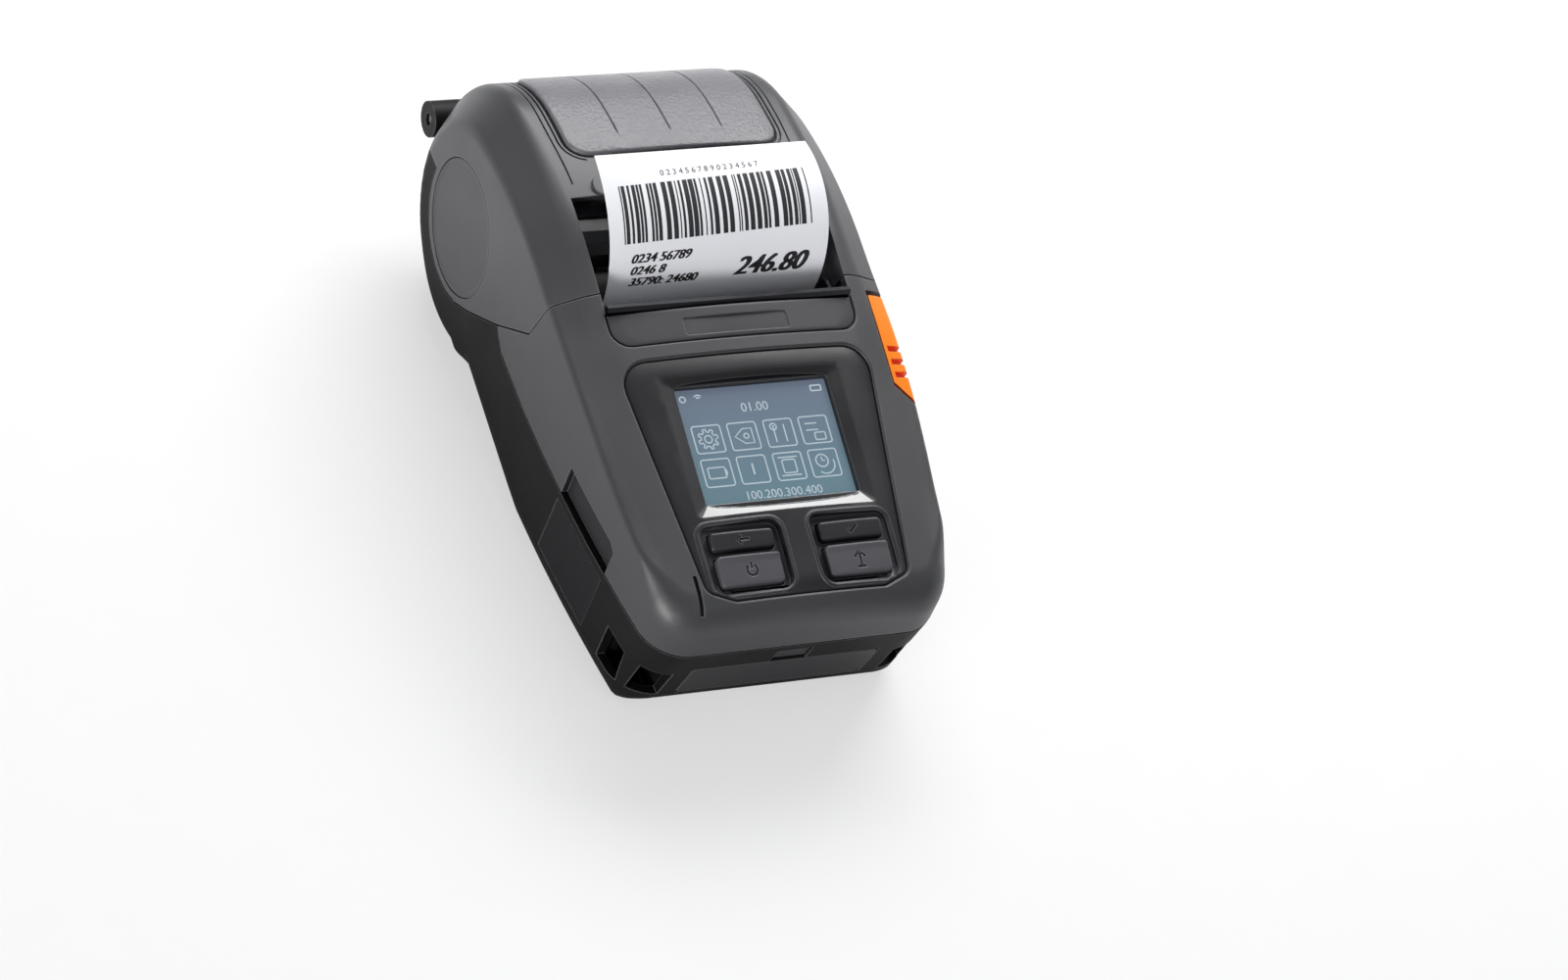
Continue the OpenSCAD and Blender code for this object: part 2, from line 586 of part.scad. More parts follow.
module chassis() color("#2b2b2e") place() difference() {
  union() {
    intersection() {
      tube(roll_c, tub_r + tub_wall, tub_r, -32.3, 32.3);
      slab(-40, 40, [roll_c, roll_c + 60 * [cos(197), sin(197)], [-60, -40], [60, -40], roll_c + 60 * [cos(346), sin(346)]]);
    }
    both() difference() {
      slab(bay_half - 0.1, 32.2, concat([dk(10, -23.5), dk(23.2, -20.2), [-24, 33], [0, 31], [27, 26]],
        arc(roll_c, tub_r + tub_wall / 2, 344, 225, 20),
        [[-30, 12], [-45, 9], [-58, 4], [-61, wall], [-66, wall], [-66, 20], [-60, 33]]));
      cover_side(0, 60, -0.5);
    }
    slab(-32.3, 32.3, dks([[8, -24.3], [11.5, -24.3], [11.5, -27], [8, -27]]));
    both() slab(bay_half - 0.1, 32.3, dks(concat([[8.6, -25], [16.4, -25]], arc(latch_c, 3.9, 0, 180, 10))));
  }
  both() slab(26.5, bay_half - 0.1, [[-10, 20], [-18, 22], [-27, 22.5], [-40, 13], [-40, 4], [-22, 4], [-10, 13]]);
  bar(motor_c, 2.2, -40, -29);
  bar(idler_c, hinge_pin_r + 0.02, -40, -29);
  bar(dk(latch_y, latch_z), latch_shaft_r + 0.06, -40, 40);
  for (x = [-20, 20]) deck_post(x, 9.8, -30, -20, 0.85);
}

module head_bracket() color("silver") place() difference() {
  union() {
    deck_box(-30.3, 30.3, 18, 19.2, -24.2, -13.2);
    deck_box(-28.6, 28.6, 18, 19.2, -24.2, -7);
    deck_box(-28.6, 28.6, 8.4, 19.2, -24.2, -23.2);
    both() slab(29.5, 30.3, dks([[18.6, -24.1], [33.6, -22.4], [35.6, -14.5], [34.6, -11.6], [33.2, -10.8], [26.2, -12.4], [18.6, -13.4]]));
  }
  both() slab(29, 31, concat(arc(platen_c, bush_r + 0.06, open_a + 90, open_a + 270, 16),
    [platen_c + 12 * open_dir + 4.4 * [open_dir[1], -open_dir[0]], platen_c + 12 * open_dir - 4.4 * [open_dir[1], -open_dir[0]]]));
  for (x = [-20, 20]) deck_post(x, 9.8, -30, -20, 1.3);
}

module print_head() color("#8a8d92") place() union() {
  deck_box(-28, 28, 19.2, platen_y - platen_r - nip - 1, -22, -9.5);
  deck_box(-27, 27, platen_y - platen_r - nip - 1, platen_y - platen_r - nip, -21, -11);
}

module tear_bar() color("silver") place() slab(-bay_half + 0.2, bay_half - 0.2, dks([[18.3, -0.9], [19, 0.1], [20.1, -0.6], [19.3, -4.9], [18.3, -5.2]]));

module exit_plate() color("#3a3a3d") place() deck_sheet(plate_points(0), 0.25, pocket_t);

module feed_motor() color("#b9bcc0") place() union() {
  bar(motor_c, motor_r, 0.1 - bay_half - 0.1 + 0.1, motor_l - bay_half);
  bar(motor_c, 1, -34.7, -bay_half + 1);
}

module motor_pinion() color("goldenrod") place() gear(pinion_n, 1.02, -gear_end - 0.2, -34.9, motor_c, 90 + motor_dir + 90 + 180 / pinion_n);

module idler_gear() color("ivory") place() union() {
  gear(idler_big_n, hinge_pin_r + 0.05, -gear_end, -gear_out, idler_c, motor_dir);
  gear(idler_small_n, hinge_pin_r + 0.05, -gear_out, -gear_in, idler_c, atan2(open_dir[1], open_dir[0]));
}

module idler_pin() color("silver") place() bar(idler_c, hinge_pin_r, -gear_end - 0.4, 0.2 - bay_half);

module platen_gear() color("ivory") place() gear(platen_n, platen_shaft_r + 0.02, -gear_mid, -gear_in, platen_c, atan2(open_dir[1], open_dir[0]) + 180 + 180 / platen_n);

module platen_shaft() color("silver") place() bar(platen_c, platen_shaft_r, -platen_shaft_end, 30.4);

module platen_rubber() color("#1b1b1c") place() tube(platen_c, platen_r, platen_shaft_r, -platen_half, platen_half);

module platen_bushes() color("#d8d4c4") place() both() tube(platen_c, bush_r, platen_shaft_r + 0.05, 28.3, 30.3);

module platen_bracket() color("#8f9196") place() difference() {
  union() {
    slab(-29.1, 29.1, dks([[36.6, -9.4], [38.4, -6.9], [41, -5.9], [44, -6.3], [46, -8.95], [53.2, -8.95], [53.2, -10.3], [46.2, -10.3], [44.6, -13.4], [36.6, -15.6]]));
    both() slab(28.3, 29.1, dks(concat(arc([platen_y, platen_z], 4.2, 100, 260, 12), [[38, -17], [44.6, -13.4], [44, -6.3], [38, -7]])));
  }
  both() {
    bar(platen_c, bush_r + 0.01, 27, 31);
    deck_post(22, 50.6, -12, -7, 1.25);
  }
}

module bracket_screws() color("silver") place() both() {
  deck_post(22, 50.6, -11.5, -10.3, 2);
  deck_post(22, 50.6, -10.4, -4.4, 1);
}

module head_screws() color("silver") place() for (x = [-20, 20]) {
  deck_post(x, 9.8, -23.2, -22, 2);
  deck_post(x, 9.8, -26.8, -23.1, 0.8);
}

module paper_roll() color("white") place() tube(roll_c, roll_r, core_r + core_wall, -media_w / 2, media_w / 2);

module roll_core() color("tan") place() tube(roll_c, core_r + core_wall, core_r, -media_w / 2, media_w / 2);

// The web leaves the roll, meets the roller and turns up through the nip
web_d = platen_c - roll_c;
web_g = 0.1;
web_n = let (u = unit(-web_d), w = [u[1], -u[0]], k = (roll_r + web_g - platen_r - web_g) / norm(web_d)) -k * u + sqrt(1 - k * k) * w;
web_a = atan2(web_n[1], web_n[0]) + 360;
function web_line(g) = concat([roll_c + (roll_r + 0.3 + g) * web_n], arc(platen_c, platen_r + web_g + g, web_a, 180 + deck_tilt, 8),
  [dk(platen_y - platen_r - web_g - g, platen_z + 2)]);
function back(p) = [for (i = [len(p) - 1:-1:0]) p[i]];
module paper_web() color("white") place() slab(-media_w / 2, media_w / 2, concat(web_line(paper_t), back(web_line(0))));

// The printed label curls back over the slot; each edge is a cubic curve
function curve(p, k) = pow(1 - k, 3) * p[0] + 3 * k * pow(1 - k, 2) * p[1] + 3 * k * k * (1 - k) * p[2] + pow(k, 3) * p[3];
label_l = [[24.1, -11.9], [26.6, -2.5], [36, 7.2], [53.8, 5.7]];
label_r = [[24.1, -11.9], [25.2, 3.2], [38, 13.6], [54, 5.8]];
module printed_label() color("white") place() loft([for (i = [0:16]) let (k = i / 16, a = curve(label_l, k), b = curve(label_r, k),
    n = unit([curve(label_l, min(1, k + 0.02))[1] - curve(label_l, max(0, k - 0.02))[1], curve(label_l, max(0, k - 0.02))[0] - curve(label_l, min(1, k + 0.02))[0]]) * paper_t,
    al = dk(a[0], a[1]), bl = dk(b[0], b[1]), an = dk(a[0] + n[0], a[1] + n[1]), bn = dk(b[0] + n[0], b[1] + n[1]))
  [[-media_w / 2, al[0], al[1]], [media_w / 2, bl[0], bl[1]], [media_w / 2, bn[0], bn[1]], [-media_w / 2, an[0], an[1]]]]);

// A media guide on the right-hand side: plate, hub for the core and a foot with its rack
module guide(rack_y, sgn) {
  union() {
    intersection() {
      bar(roll_c, 22.5, 26.8, 26.8 + guide_t);
      box(20, 40, -30, 30, 5, 44);
    }
    bar(roll_c, core_r - 0.1, 23.4, 27);
    slab(26.8, 26.8 + guide_t, [[-10, 18], [-20, 22], [-37, 12.3], [-37, 9.5], [-24, 9.5], [-12, 14.5]]);
  }
  difference() {
    box(-7.5, 27.5, min(rack_y, rack_y + sgn * 2.4), max(rack_y, rack_y + sgn * 2.4), 9.5, 11.7);
    for (i = [-6:4]) translate([i * PI * gear_m, rack_y, 9]) linear_extrude(4)
      polygon([[-0.62, -sgn * 0.2], [0.62, -sgn * 0.2], [0.2, sgn * 1.05], [-0.2, sgn * 1.05]]);
  }
}
rack_n = 12;
rack_r = gear_m * rack_n / 2;
module guide_right() color("#55575b") place() guide(-30.5 - rack_r + 0.45 - 0.06, -1);
module guide_left() color("#55575b") place() mirror([1, 0, 0]) guide(-30.5 + rack_r - 0.45 + 0.06, 1);
module guide_pinion() color("ivory") place() translate([0, -30.5, 9.4]) rotate([0, -90, 0]) translate([0, 0, 0]) gear(rack_n, 1.25, 0, 2.2, [0, 0], 0);

module screen_panel() color("#3c3c3f") place() difference() {
  intersection() {
    form(0.3);
    union() {
      difference() {
        deck_plate(panel_out, -12, 5);
        form(pocket_t);
      }
      deck_plate(inset_panel(2.6), -2.9, 5);
      both() deck_post(26, 0.6, -8.9, -2, 1.5);
      deck_post(0, -34.4, -8.9, -2, 1.1);
    }
  }
  deck_box(-glass_half, glass_half, glass_y0, glass_y1, -6, 4);
  bezel_cut();
  for (x = [-key_x, key_x]) {
    deck_plate(rounded([[x - 9.6, -34.8, 2.2], [x - 9.4, -50.4, 2.6], [x + 9.4, -50.4, 2.6], [x + 9.6, -34.8, 2.2]]), -1.5, 5);
    key_hole(x, key_short_y, key_short);
    key_hole(x, key_long_y, key_long);
  }
}

// The bezel's four slopes: one wedge across the width and one along the deck, met
module bezel_cut() {
  w = bezel_w * 2.2;
  x = glass_half;
  z0 = -glass_depth;
  z1 = z0 + 1.5 * 2.2;
  intersection() {
    on_deck() translate([0, 20, 0]) rotate([90, 0, 0]) linear_extrude(80) polygon([[-x, z0], [x, z0], [x + w, z1], [-x - w, z1]]);
    slab(-60, 60, dks([[glass_y0, z0], [glass_y1, z0], [glass_y1 + w * 0.7, z1], [glass_y0 - w * 0.58, z1]]));
  }
}
module key_hole(x, y, l) deck_box(x - key_w / 2 - key_gap, x + key_w / 2 + key_gap, y - l / 2 - key_gap, y + l / 2 + key_gap, -12, 6);

module key(x, y, l, top) union() {
  deck_plate(rounded([[x - key_w / 2, y - l / 2, 0.9], [x + key_w / 2, y - l / 2, 0.9], [x + key_w / 2, y + l / 2, 0.9], [x - key_w / 2, y + l / 2, 0.9]]), key_floor - 0.2, top);
  deck_box(x - key_w / 2 - 0.7, x + key_w / 2 + 0.7, y - l / 2 - 0.6, y + l / 2 + 0.6, key_floor - 0.6, key_floor);
}
module key_back() color("#58585c") place() key(-key_x, key_short_y, key_short, -0.3);
module key_power() color("#6e6e72") place() key(-key_x, key_long_y, key_long, 0);
module key_ok() color("#58585c") place() key(key_x, key_short_y, key_short, -0.3);
module key_feed() color("#6e6e72") place() key(key_x, key_long_y, key_long, 0);

module screen_lens() color("#6b7584") place() deck_box(-glass_half - 1.6, glass_half + 1.6, glass_y0 - 1.6, glass_y1 + 1.6, -glass_depth - 1.8, -2.9);

module lcd_module() color("#2f3338") place() deck_box(-glass_half - 2.6, glass_half + 2.6, glass_y0 - 3.2, glass_y1 + 2.6, -glass_depth - 4.9, -glass_depth - 1.8);

module keypad() color("#202124") place() union() {
  deck_box(-23, 23, -50.4, -36.2, key_floor - 2.2, key_floor - 1.4);
  for (x = [-18, 18]) deck_box(x - 1, x + 1, -46, -40, -8.9, key_floor - 2);
}

module main_board() color("#1f5a3a") place() union() {
  deck_box(-28.6, 28.6, -50, 7, -10.4, -8.9);
  deck_box(-8, 4, -24, -12, -8.9, -7.7);
  deck_box(10, 18, -20, -12, -8.9, -7.9);
  deck_box(-20, -14, -8, -2, -8.9, -8);
}

module radio_module() color("#c7cacd") place() deck_box(8, 24, -40, -26, -12.4, -10.4);

module port_board() color("#1f5a3a") place() union() {
  box(5.2 - port_in, 6.8 - port_in, -99, -71, wall, 24);
}

module usb_socket() color("silver") place() difference() {
  box(-0.1 - port_in, 5.2 - port_in, -85.4, -76.4, 13.3, 16.7);
  box(-1.4 - port_in, 3.6 - port_in, -84.8, -77, 13.9, 16.1);
}

module power_jack() color("#242528") place() union() {
  difference() {
    union() {
      translate([-0.1 - port_in, -91.4, 15]) rotate([0, 90, 0]) cylinder(r = 3.3, h = 5.3, $fn = smooth);
      box(1.3 - port_in, 5.2 - port_in, -95, -87.8, 11.4, 18.6);
    }
    translate([-1.4 - port_in, -91.4, 15]) rotate([0, 90, 0]) cylinder(r = 2.05, h = 5.6, $fn = smooth);
  }
  translate([0.3 - port_in, -91.4, 15]) rotate([0, 90, 0]) cylinder(r = 0.6, h = 4.3, $fn = smooth);
}

module port_flap() color("#29292b") place() intersection() {
  form(0);
  translate([0, 0, port_z0 + 0.25]) linear_extrude(port_z1 - port_z0 - 0.5) polygon([[-60, -port_rear - 0.25],
    [-half_at(-port_rear) + flap_t, -port_rear - 0.25], [-half_at(-port_rear - port_l) + flap_t, -port_rear - port_l + 0.25],
    [-60, -port_rear - port_l + 0.25]]);
}

// Front face of the lower housing at a given height
function face_at(z) = -front_reach + 5.2 * (seam_z - z) / (seam_z - foot_rise);

module battery_pack() color("#2f2f31") place() slab(-battery_half, battery_half, [[-battery_rear, battery_z], [-battery_rear, battery_z + battery_h],
  [face_at(battery_z + battery_h) + 0.02, battery_z + battery_h], [face_at(battery_z) + 0.02, battery_z]]);

module battery_contacts() color("#d4b45a") place() box(-9, 9, -battery_rear + 0.05, -battery_rear + 3, wall, battery_z + battery_h - 1);

module battery_latch() color("#2a2a2c") place() union() {
  slab(-4.1, 4.1, [[-115, 18.5], [-115, 22.6], [face_at(22.6) + 0.4, 22.6], [face_at(19.7) + 0.4, 19.7], [-118.4, 19.7], [-118.2, 18.5]]);
  box(-6.6, 6.6, -117.4, -115, 19.6, 22.6);
}

module housing_screws() color("silver") place() both() for (q = [screw_rear, [32.6, -101.5]]) {
  post(q[0], q[1], 1.2, 2.6, 2.3);
  post(q[0], q[1], 2.5, 34, 1);
}

lower_housing();
upper_housing();
roll_cover();
cover_window();
side_discs();
radio_tag();
hinge_pin();
chassis();
platen_bracket();
platen_bushes();
platen_shaft();
platen_rubber();
platen_gear();
print_head();
head_bracket();
tear_bar();
exit_plate();
feed_motor();
motor_pinion();
idler_gear();
idler_pin();
paper_roll();
roll_core();
paper_web();
printed_label();
guide_left();
guide_right();
guide_pinion();
screen_panel();
screen_lens();
lcd_module();
keypad();
key_back();
key_power();
key_ok();
key_feed();
release_lever();
latch_shaft();
latch_hooks();
main_board();
radio_module();
port_board();
usb_socket();
power_jack();
port_flap();
battery_pack();
battery_contacts();
battery_latch();
housing_screws();
bracket_screws();
head_screws();
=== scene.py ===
import math

import bpy
import numpy as np
from mathutils import Matrix, Vector


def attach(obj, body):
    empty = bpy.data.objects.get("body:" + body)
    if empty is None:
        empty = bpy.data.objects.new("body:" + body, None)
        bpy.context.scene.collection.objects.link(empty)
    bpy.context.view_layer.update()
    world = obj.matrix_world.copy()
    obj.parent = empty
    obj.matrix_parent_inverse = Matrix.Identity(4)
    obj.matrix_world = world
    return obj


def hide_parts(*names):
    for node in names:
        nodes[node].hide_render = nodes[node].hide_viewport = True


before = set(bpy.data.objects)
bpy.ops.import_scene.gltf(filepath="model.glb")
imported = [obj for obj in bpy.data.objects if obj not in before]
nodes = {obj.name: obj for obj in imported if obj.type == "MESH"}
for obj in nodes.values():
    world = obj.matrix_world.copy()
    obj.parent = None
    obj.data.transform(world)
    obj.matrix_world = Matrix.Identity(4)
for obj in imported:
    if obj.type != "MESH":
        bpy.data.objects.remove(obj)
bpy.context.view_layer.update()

# Table top and light
# The printer lies flat on a wide matt white sheet, under one large soft box over its roll end and a low
# one on its port side, so that edges facing the roll end catch a bright line. Places are in metres.
scene = bpy.context.scene
scene.view_settings.view_transform = "Standard"


def linear(code):
    """sRGB hex to linear: c / 12.92 below 0.04045, else ((c + 0.055) / 1.055) ** 2.4."""
    c = np.array([int(code[i:i + 2], 16) for i in (1, 3, 5)]) / 255
    c = np.where(c <= 0.04045, c / 12.92, ((c + 0.055) / 1.055) ** 2.4)
    return (*c.tolist(), 1.0)


def add(tree, kind, values=None, links=None, **settings):
    """Adds one node: settings on the node, values on its sockets, links into its sockets."""
    n = tree.nodes.new(kind)
    for key, value in settings.items():
        setattr(n, key, value)
    for key, value in (values or {}).items():
        n.inputs[key].default_value = value
    for key, source in (links or {}).items():
        tree.links.new(source, n.inputs[key])
    return n


def blank(name):
    """An empty material, its tree, its output node and the piece's own coordinates in metres."""
    mat = bpy.data.materials.new(name)
    mat.use_nodes = True
    t = mat.node_tree
    t.nodes.clear()
    out = t.nodes.new("ShaderNodeOutputMaterial")
    return mat, t, out, add(t, "ShaderNodeTexCoord").outputs["Object"]


def per_mm(cells):
    """Pattern scale that gives so many cells to a millimetre, as object coordinates are metres."""
    return 1000.0 * cells


def mottle(t, where, cells, low, high, detail=2.0):
    """A colour that drifts between two sRGB values over noise of so many cells to a millimetre."""
    noise = add(t, "ShaderNodeTexNoise", {"Scale": per_mm(cells), "Detail": detail}, {"Vector": where})
    return add(t, "ShaderNodeMix", {6: linear(low), 7: linear(high)}, {0: noise.outputs["Fac"]},
               data_type="RGBA").outputs[2]


# Rolled emulsion paint: nearly white and quite matt, plain to the camera and keeping the soft shadow
sheet_mat, t, out, where = blank("white_painted_sheet")
paint = mottle(t, where, 0.09, "#f2f2f2", "#f6f6f6")
dull = add(t, "ShaderNodeBsdfDiffuse", {}, {"Color": paint})
glow = add(t, "ShaderNodeEmission", {"Strength": 1.0, "Color": (1, 1, 1, 1)})
path = add(t, "ShaderNodeLightPath")
seen = add(t, "ShaderNodeMath", {1: 0.55}, {0: path.outputs["Is Camera Ray"]}, operation="MULTIPLY")
both = add(t, "ShaderNodeMixShader", {}, {0: seen.outputs[0], 1: dull.outputs[0], 2: glow.outputs[0]})
t.links.new(both.outputs[0], out.inputs["Surface"])

sheet_half, sheet_drop, sheet_lines = 6.0, 0.0002, 9
span = np.linspace(-sheet_half, sheet_half, sheet_lines)
gx, gy = np.meshgrid(span, span)
cells = np.arange(sheet_lines - 1)
at = (cells[:, None] * sheet_lines + cells).ravel()
sheet = bpy.data.meshes.new("table_sheet")
sheet.from_pydata(np.column_stack([gx.ravel(), gy.ravel(), np.full(gx.size, -sheet_drop)]).tolist(), [],
                  np.stack([at, at + 1, at + sheet_lines + 1, at + sheet_lines], -1).tolist())
sheet.materials.append(sheet_mat)
table = bpy.data.objects.new("table_sheet", sheet)
scene.collection.objects.link(table)

world = bpy.data.worlds.new("pale_room")
scene.world = world
world.use_nodes = True
w = world.node_tree
w.nodes.clear()
sky = add(w, "ShaderNodeBackground", {"Color": linear("#f4f6fa"), "Strength": 0.34})
plain = add(w, "ShaderNodeBackground", {"Color": (1, 1, 1, 1), "Strength": 1.0})
path = add(w, "ShaderNodeLightPath")
pick = add(w, "ShaderNodeMixShader", {}, {0: path.outputs["Is Camera Ray"], 1: sky.outputs[0],
                                          2: plain.outputs[0]})
w.links.new(pick.outputs[0], add(w, "ShaderNodeOutputWorld").inputs["Surface"])


def soft_box(name, place, aim, size, power):
    """A square lamp turned so that its own -Z axis runs from place to aim."""
    lamp = bpy.data.lights.new(name, "AREA")
    lamp.shape = "RECTANGLE"
    lamp.size, lamp.size_y = size
    lamp.energy = power
    o = bpy.data.objects.new(name, lamp)
    o.location = place
    o.rotation_euler = (Vector(aim) - Vector(place)).to_track_quat("-Z", "Y").to_euler()
    scene.collection.objects.link(o)


middle_of_body = (0, 0, 0.04)
soft_box("soft_box_over_roll_end", (0.22, 0.40, 0.50), middle_of_body, (0.64, 0.34), 5.6)
soft_box("strip_starboard_side", (0.90, 0.22, 0.17), middle_of_body, (0.5, 0.12), 0.8)
soft_box("soft_box_port_side", (-0.84, -0.52, 0.14), (0, -0.02, 0.03), (0.6, 0.2), 7.0)
soft_box("soft_box_over_front", (0.25, -0.75, 0.85), middle_of_body, (0.4, 0.4), 0.6)

lens = bpy.data.cameras.new("photo_view")
lens.lens = 119.107
lens.sensor_width = 36.0
lens.clip_start = 0.01
view = bpy.data.objects.new("photo_view", lens)
view_right = (0.88686, -0.3511, 0.30034)
view_up = (0.08714, 0.76548, 0.63754)
view_back = (-0.45374, -0.53923, 0.70947)
view_place = (-0.519371, -0.669641, 0.858519)
grid = np.eye(4)
grid[:3] = np.column_stack([view_right, view_up, view_back, view_place])
view.matrix_world = Matrix(grid.tolist())
scene.collection.objects.link(view)
scene.camera = view

# Moulded body form
# The form that the three housing parts share: a flat deck tilted 15 degrees, rounded into a drum at the
# roll end, bevelled along both sides. It is moulded in glass-filled ABS, so every edge has a small radius.
# All sizes here are millimetres, with Y counted from the roll axis; placing adds the offset to the frame.
roll_to_frame = 42.2
tilt = math.radians(15)
half_width, front_half_width = 41.3, 36.5
front_reach, straight_reach = 122.2, 50.0
roll_radius = 32.5
roll_centre = np.array([0.0, 32.5])
deck_zero = np.array([-68.0494, 54.6420])
crest_from = 30.0
crest_radius = 104.981
crest_centre = np.array([-11.900, -38.997])
crest_start = math.radians(105)
crest_end = math.atan2(roll_centre[1] - crest_centre[1], roll_centre[0] - crest_centre[0])
crest_run = crest_radius * (crest_start - crest_end)
shell_wall = 2.2
bevel_round, corner_round = 1.1, 8.6
deck_along = np.array([math.cos(tilt), math.sin(tilt)])
deck_out = np.array([-math.sin(tilt), math.cos(tilt)])


def smooth_step(a, b, v):
    """0 before a, 1 after b, with 3k^2 - 2k^3 between them."""
    k = np.clip((v - a) / (b - a), 0, 1)
    return k * k * (3 - 2 * k)


def round_max(a, b, r):
    """The larger of two distances, with a fillet of radius r where they meet."""
    return np.minimum(np.maximum(a, b), -r) + np.hypot(np.maximum(a + r, 0), np.maximum(b + r, 0))


# Ridge half width, crown depth and bevel depth, along the top run from the front to under the drum
run = np.arange(-70, 215, 1.0)
k_front = np.clip((10 - run) / 59.92, 0, 1)
k_crest = np.clip((crest_from + crest_run - run) / crest_run, 0, 1)
ridge_run = np.interp(run, [-49.9, 10, 154.5, 190.2, 197], [27, 33.2, 33.2, 36.6, 40.6])
crown_front = 1.8 * (1 - 0.38 * k_front ** 2)
crown_crest = np.where(run < crest_from + crest_run, 0.8 + np.sqrt(k_crest),
                       np.interp(run, [75, 95], [0.8, 0]))
crown_run = np.where(run < crest_from, crown_front, crown_crest)
depth_run = np.interp(run, [-60, -49.9, -30, -5, 9, 30, 74.8, 154.5, 190.2, 197],
                      [1.3, 1.8, 3.4, 3.7, 4.6, 7.1, 8.5, 8.5, 5, 0.0])
kernel = np.exp(-0.5 * (np.arange(-8, 9) / 2.5) ** 2)
kernel /= kernel.sum()
ridge_run, crown_run, depth_run = [np.convolve(np.pad(v, 8, "edge"), kernel, "valid")
                                   for v in (ridge_run, crown_run, depth_run)]


def plan_half(y):
    """Half the width in plan: straight, then a long arc that draws the sides in towards the front."""
    reach, drop = front_reach - 57, half_width - front_half_width
    radius = (reach ** 2 + drop ** 2) / (2 * drop)
    drawn_in = radius - np.sqrt(radius ** 2 - np.minimum(y + straight_reach, 0) ** 2)
    return half_width - np.where(y > -straight_reach, 0, drawn_in)


def deck_place(y, z):
    """Place along the deck and height over it, by turning (y, z) through the tilt."""
    dy, dz = y - deck_zero[0], z - deck_zero[1]
    return dy * math.cos(tilt) + dz * math.sin(tilt), -dy * math.sin(tilt) + dz * math.cos(tilt)


def top_form(ax, top, s, half):
    """Crowned deck: depth grows with (x / ridge)^2. Bevel: a plane from the ridge to the side's edge."""
    ridge, crown, depth = [np.interp(s, run, v) for v in (ridge_run, crown_run, depth_run)]
    slope = np.maximum(depth - crown, 0) / np.maximum(half - ridge, 0.6)
    crowned = top + crown * np.minimum(ax / ridge, 1.2) ** 2
    bevel = ((ax - ridge) * slope + top + crown) / np.sqrt(1 + slope ** 2)
    return round_max(crowned, bevel, bevel_round)


def body(x, y, z):
    """Signed distance from the outer skin: the flat-backed front part joined to the drum. Each flat is a
    plane's distance, a slanted one divided by the length of its slope, and fillets join them."""
    ax, half = np.abs(x), plan_half(y)
    wall = ax - half
    face = np.maximum(-y - front_reach, (-y - front_reach + 0.2419 * (26 - z)) / 1.0289)
    along, up = deck_place(y, z)
    cy, cz = y - crest_centre[0], z - crest_centre[1]
    crest = np.hypot(cy, cz) - crest_radius
    on_deck = along < crest_from
    s = np.where(on_deck, along, crest_from + crest_radius * (crest_start - np.arctan2(cz, cy)))
    edge = bevel_round + 5.9 * smooth_step(103, 117, -y)
    top = top_form(ax, np.where(on_deck, up, crest), s, half)
    front = round_max(top, round_max(wall, face, corner_round), edge)
    under = np.maximum(np.maximum(-z, (0.87 * (-112 - y) - z) / 1.3255), (0.1605 * (y + 60) - z) / 1.0128)
    sole = np.where(y < -112, (-112 - y) * 0.87, 6.5 * np.clip((y + 60) / 40.5, 0, 1))
    sill = ((wall + 3.2) * 5 - (z - sole) * 3.2) / 5.936 - 8 * smooth_step(-22, -4, y)
    front = round_max(front, round_max(under, sill, 1.2), 1.0)
    ry, rz = y - roll_centre[0], z - roll_centre[1]
    behind = ry * math.sin(crest_end) - rz * math.cos(crest_end) > 0
    front = np.where(behind, 1e3, front)
    turned = np.mod(np.arctan2(rz, ry) - crest_end - math.radians(100), 2 * math.pi) - math.radians(260)
    drum_run = crest_from + crest_run - roll_radius * turned
    drum = top_form(ax, np.hypot(ry, rz) - roll_radius, drum_run, half)
    drum = round_max(round_max(drum, wall, bevel_round), sill, 1.2)
    return np.minimum(front, drum)


def out_to(form, start, way, reach=75.0):
    """Place where form turns positive on the way out from start, found by halving 30 times."""
    low, high = np.zeros(len(start)), np.full(len(start), reach)
    for _ in range(30):
        mid = (low + high) / 2
        p = start + way * mid[:, None]
        inside = form(p[:, 0], p[:, 1], p[:, 2]) < 0
        low, high = np.where(inside, mid, low), np.where(inside, high, mid)
    return start + way * ((low + high) / 2)[:, None]


def put(name, points, faces):
    """A mesh object from points in millimetres and arrays of equal faces; a solid whose signed volume
    (a sum of a . (b x c) / 6 over its triangles) is negative is turned inside out."""
    p = np.asarray(points, float).reshape(-1, 3)
    volume = 0.0
    for group in faces:
        q = p[group]
        volume += float(np.sum(q[:, :1] * np.cross(q[:, 1:-1], q[:, 2:])))
    lists = [f for group in faces for f in (group if volume > 0 else group[:, ::-1]).tolist()]
    mesh = bpy.data.meshes.new(name)
    mesh.from_pydata(((p + [0, roll_to_frame, 0]) / 1000).tolist(), [], lists)
    o = bpy.data.objects.new(name, mesh)
    scene.collection.objects.link(o)
    return o


def band_faces(rings, count):
    """Quads between closed rings of equal count, and one face over each end."""
    i, j = np.meshgrid(np.arange(rings - 1), np.arange(count), indexing="ij")
    k = (j + 1) % count
    quads = np.stack([i * count + j, i * count + k, (i + 1) * count + k, (i + 1) * count + j], -1)
    ends = np.stack([np.arange(count)[::-1], np.arange((rings - 1) * count, rings * count)])
    return [quads.reshape(-1, 4), ends]


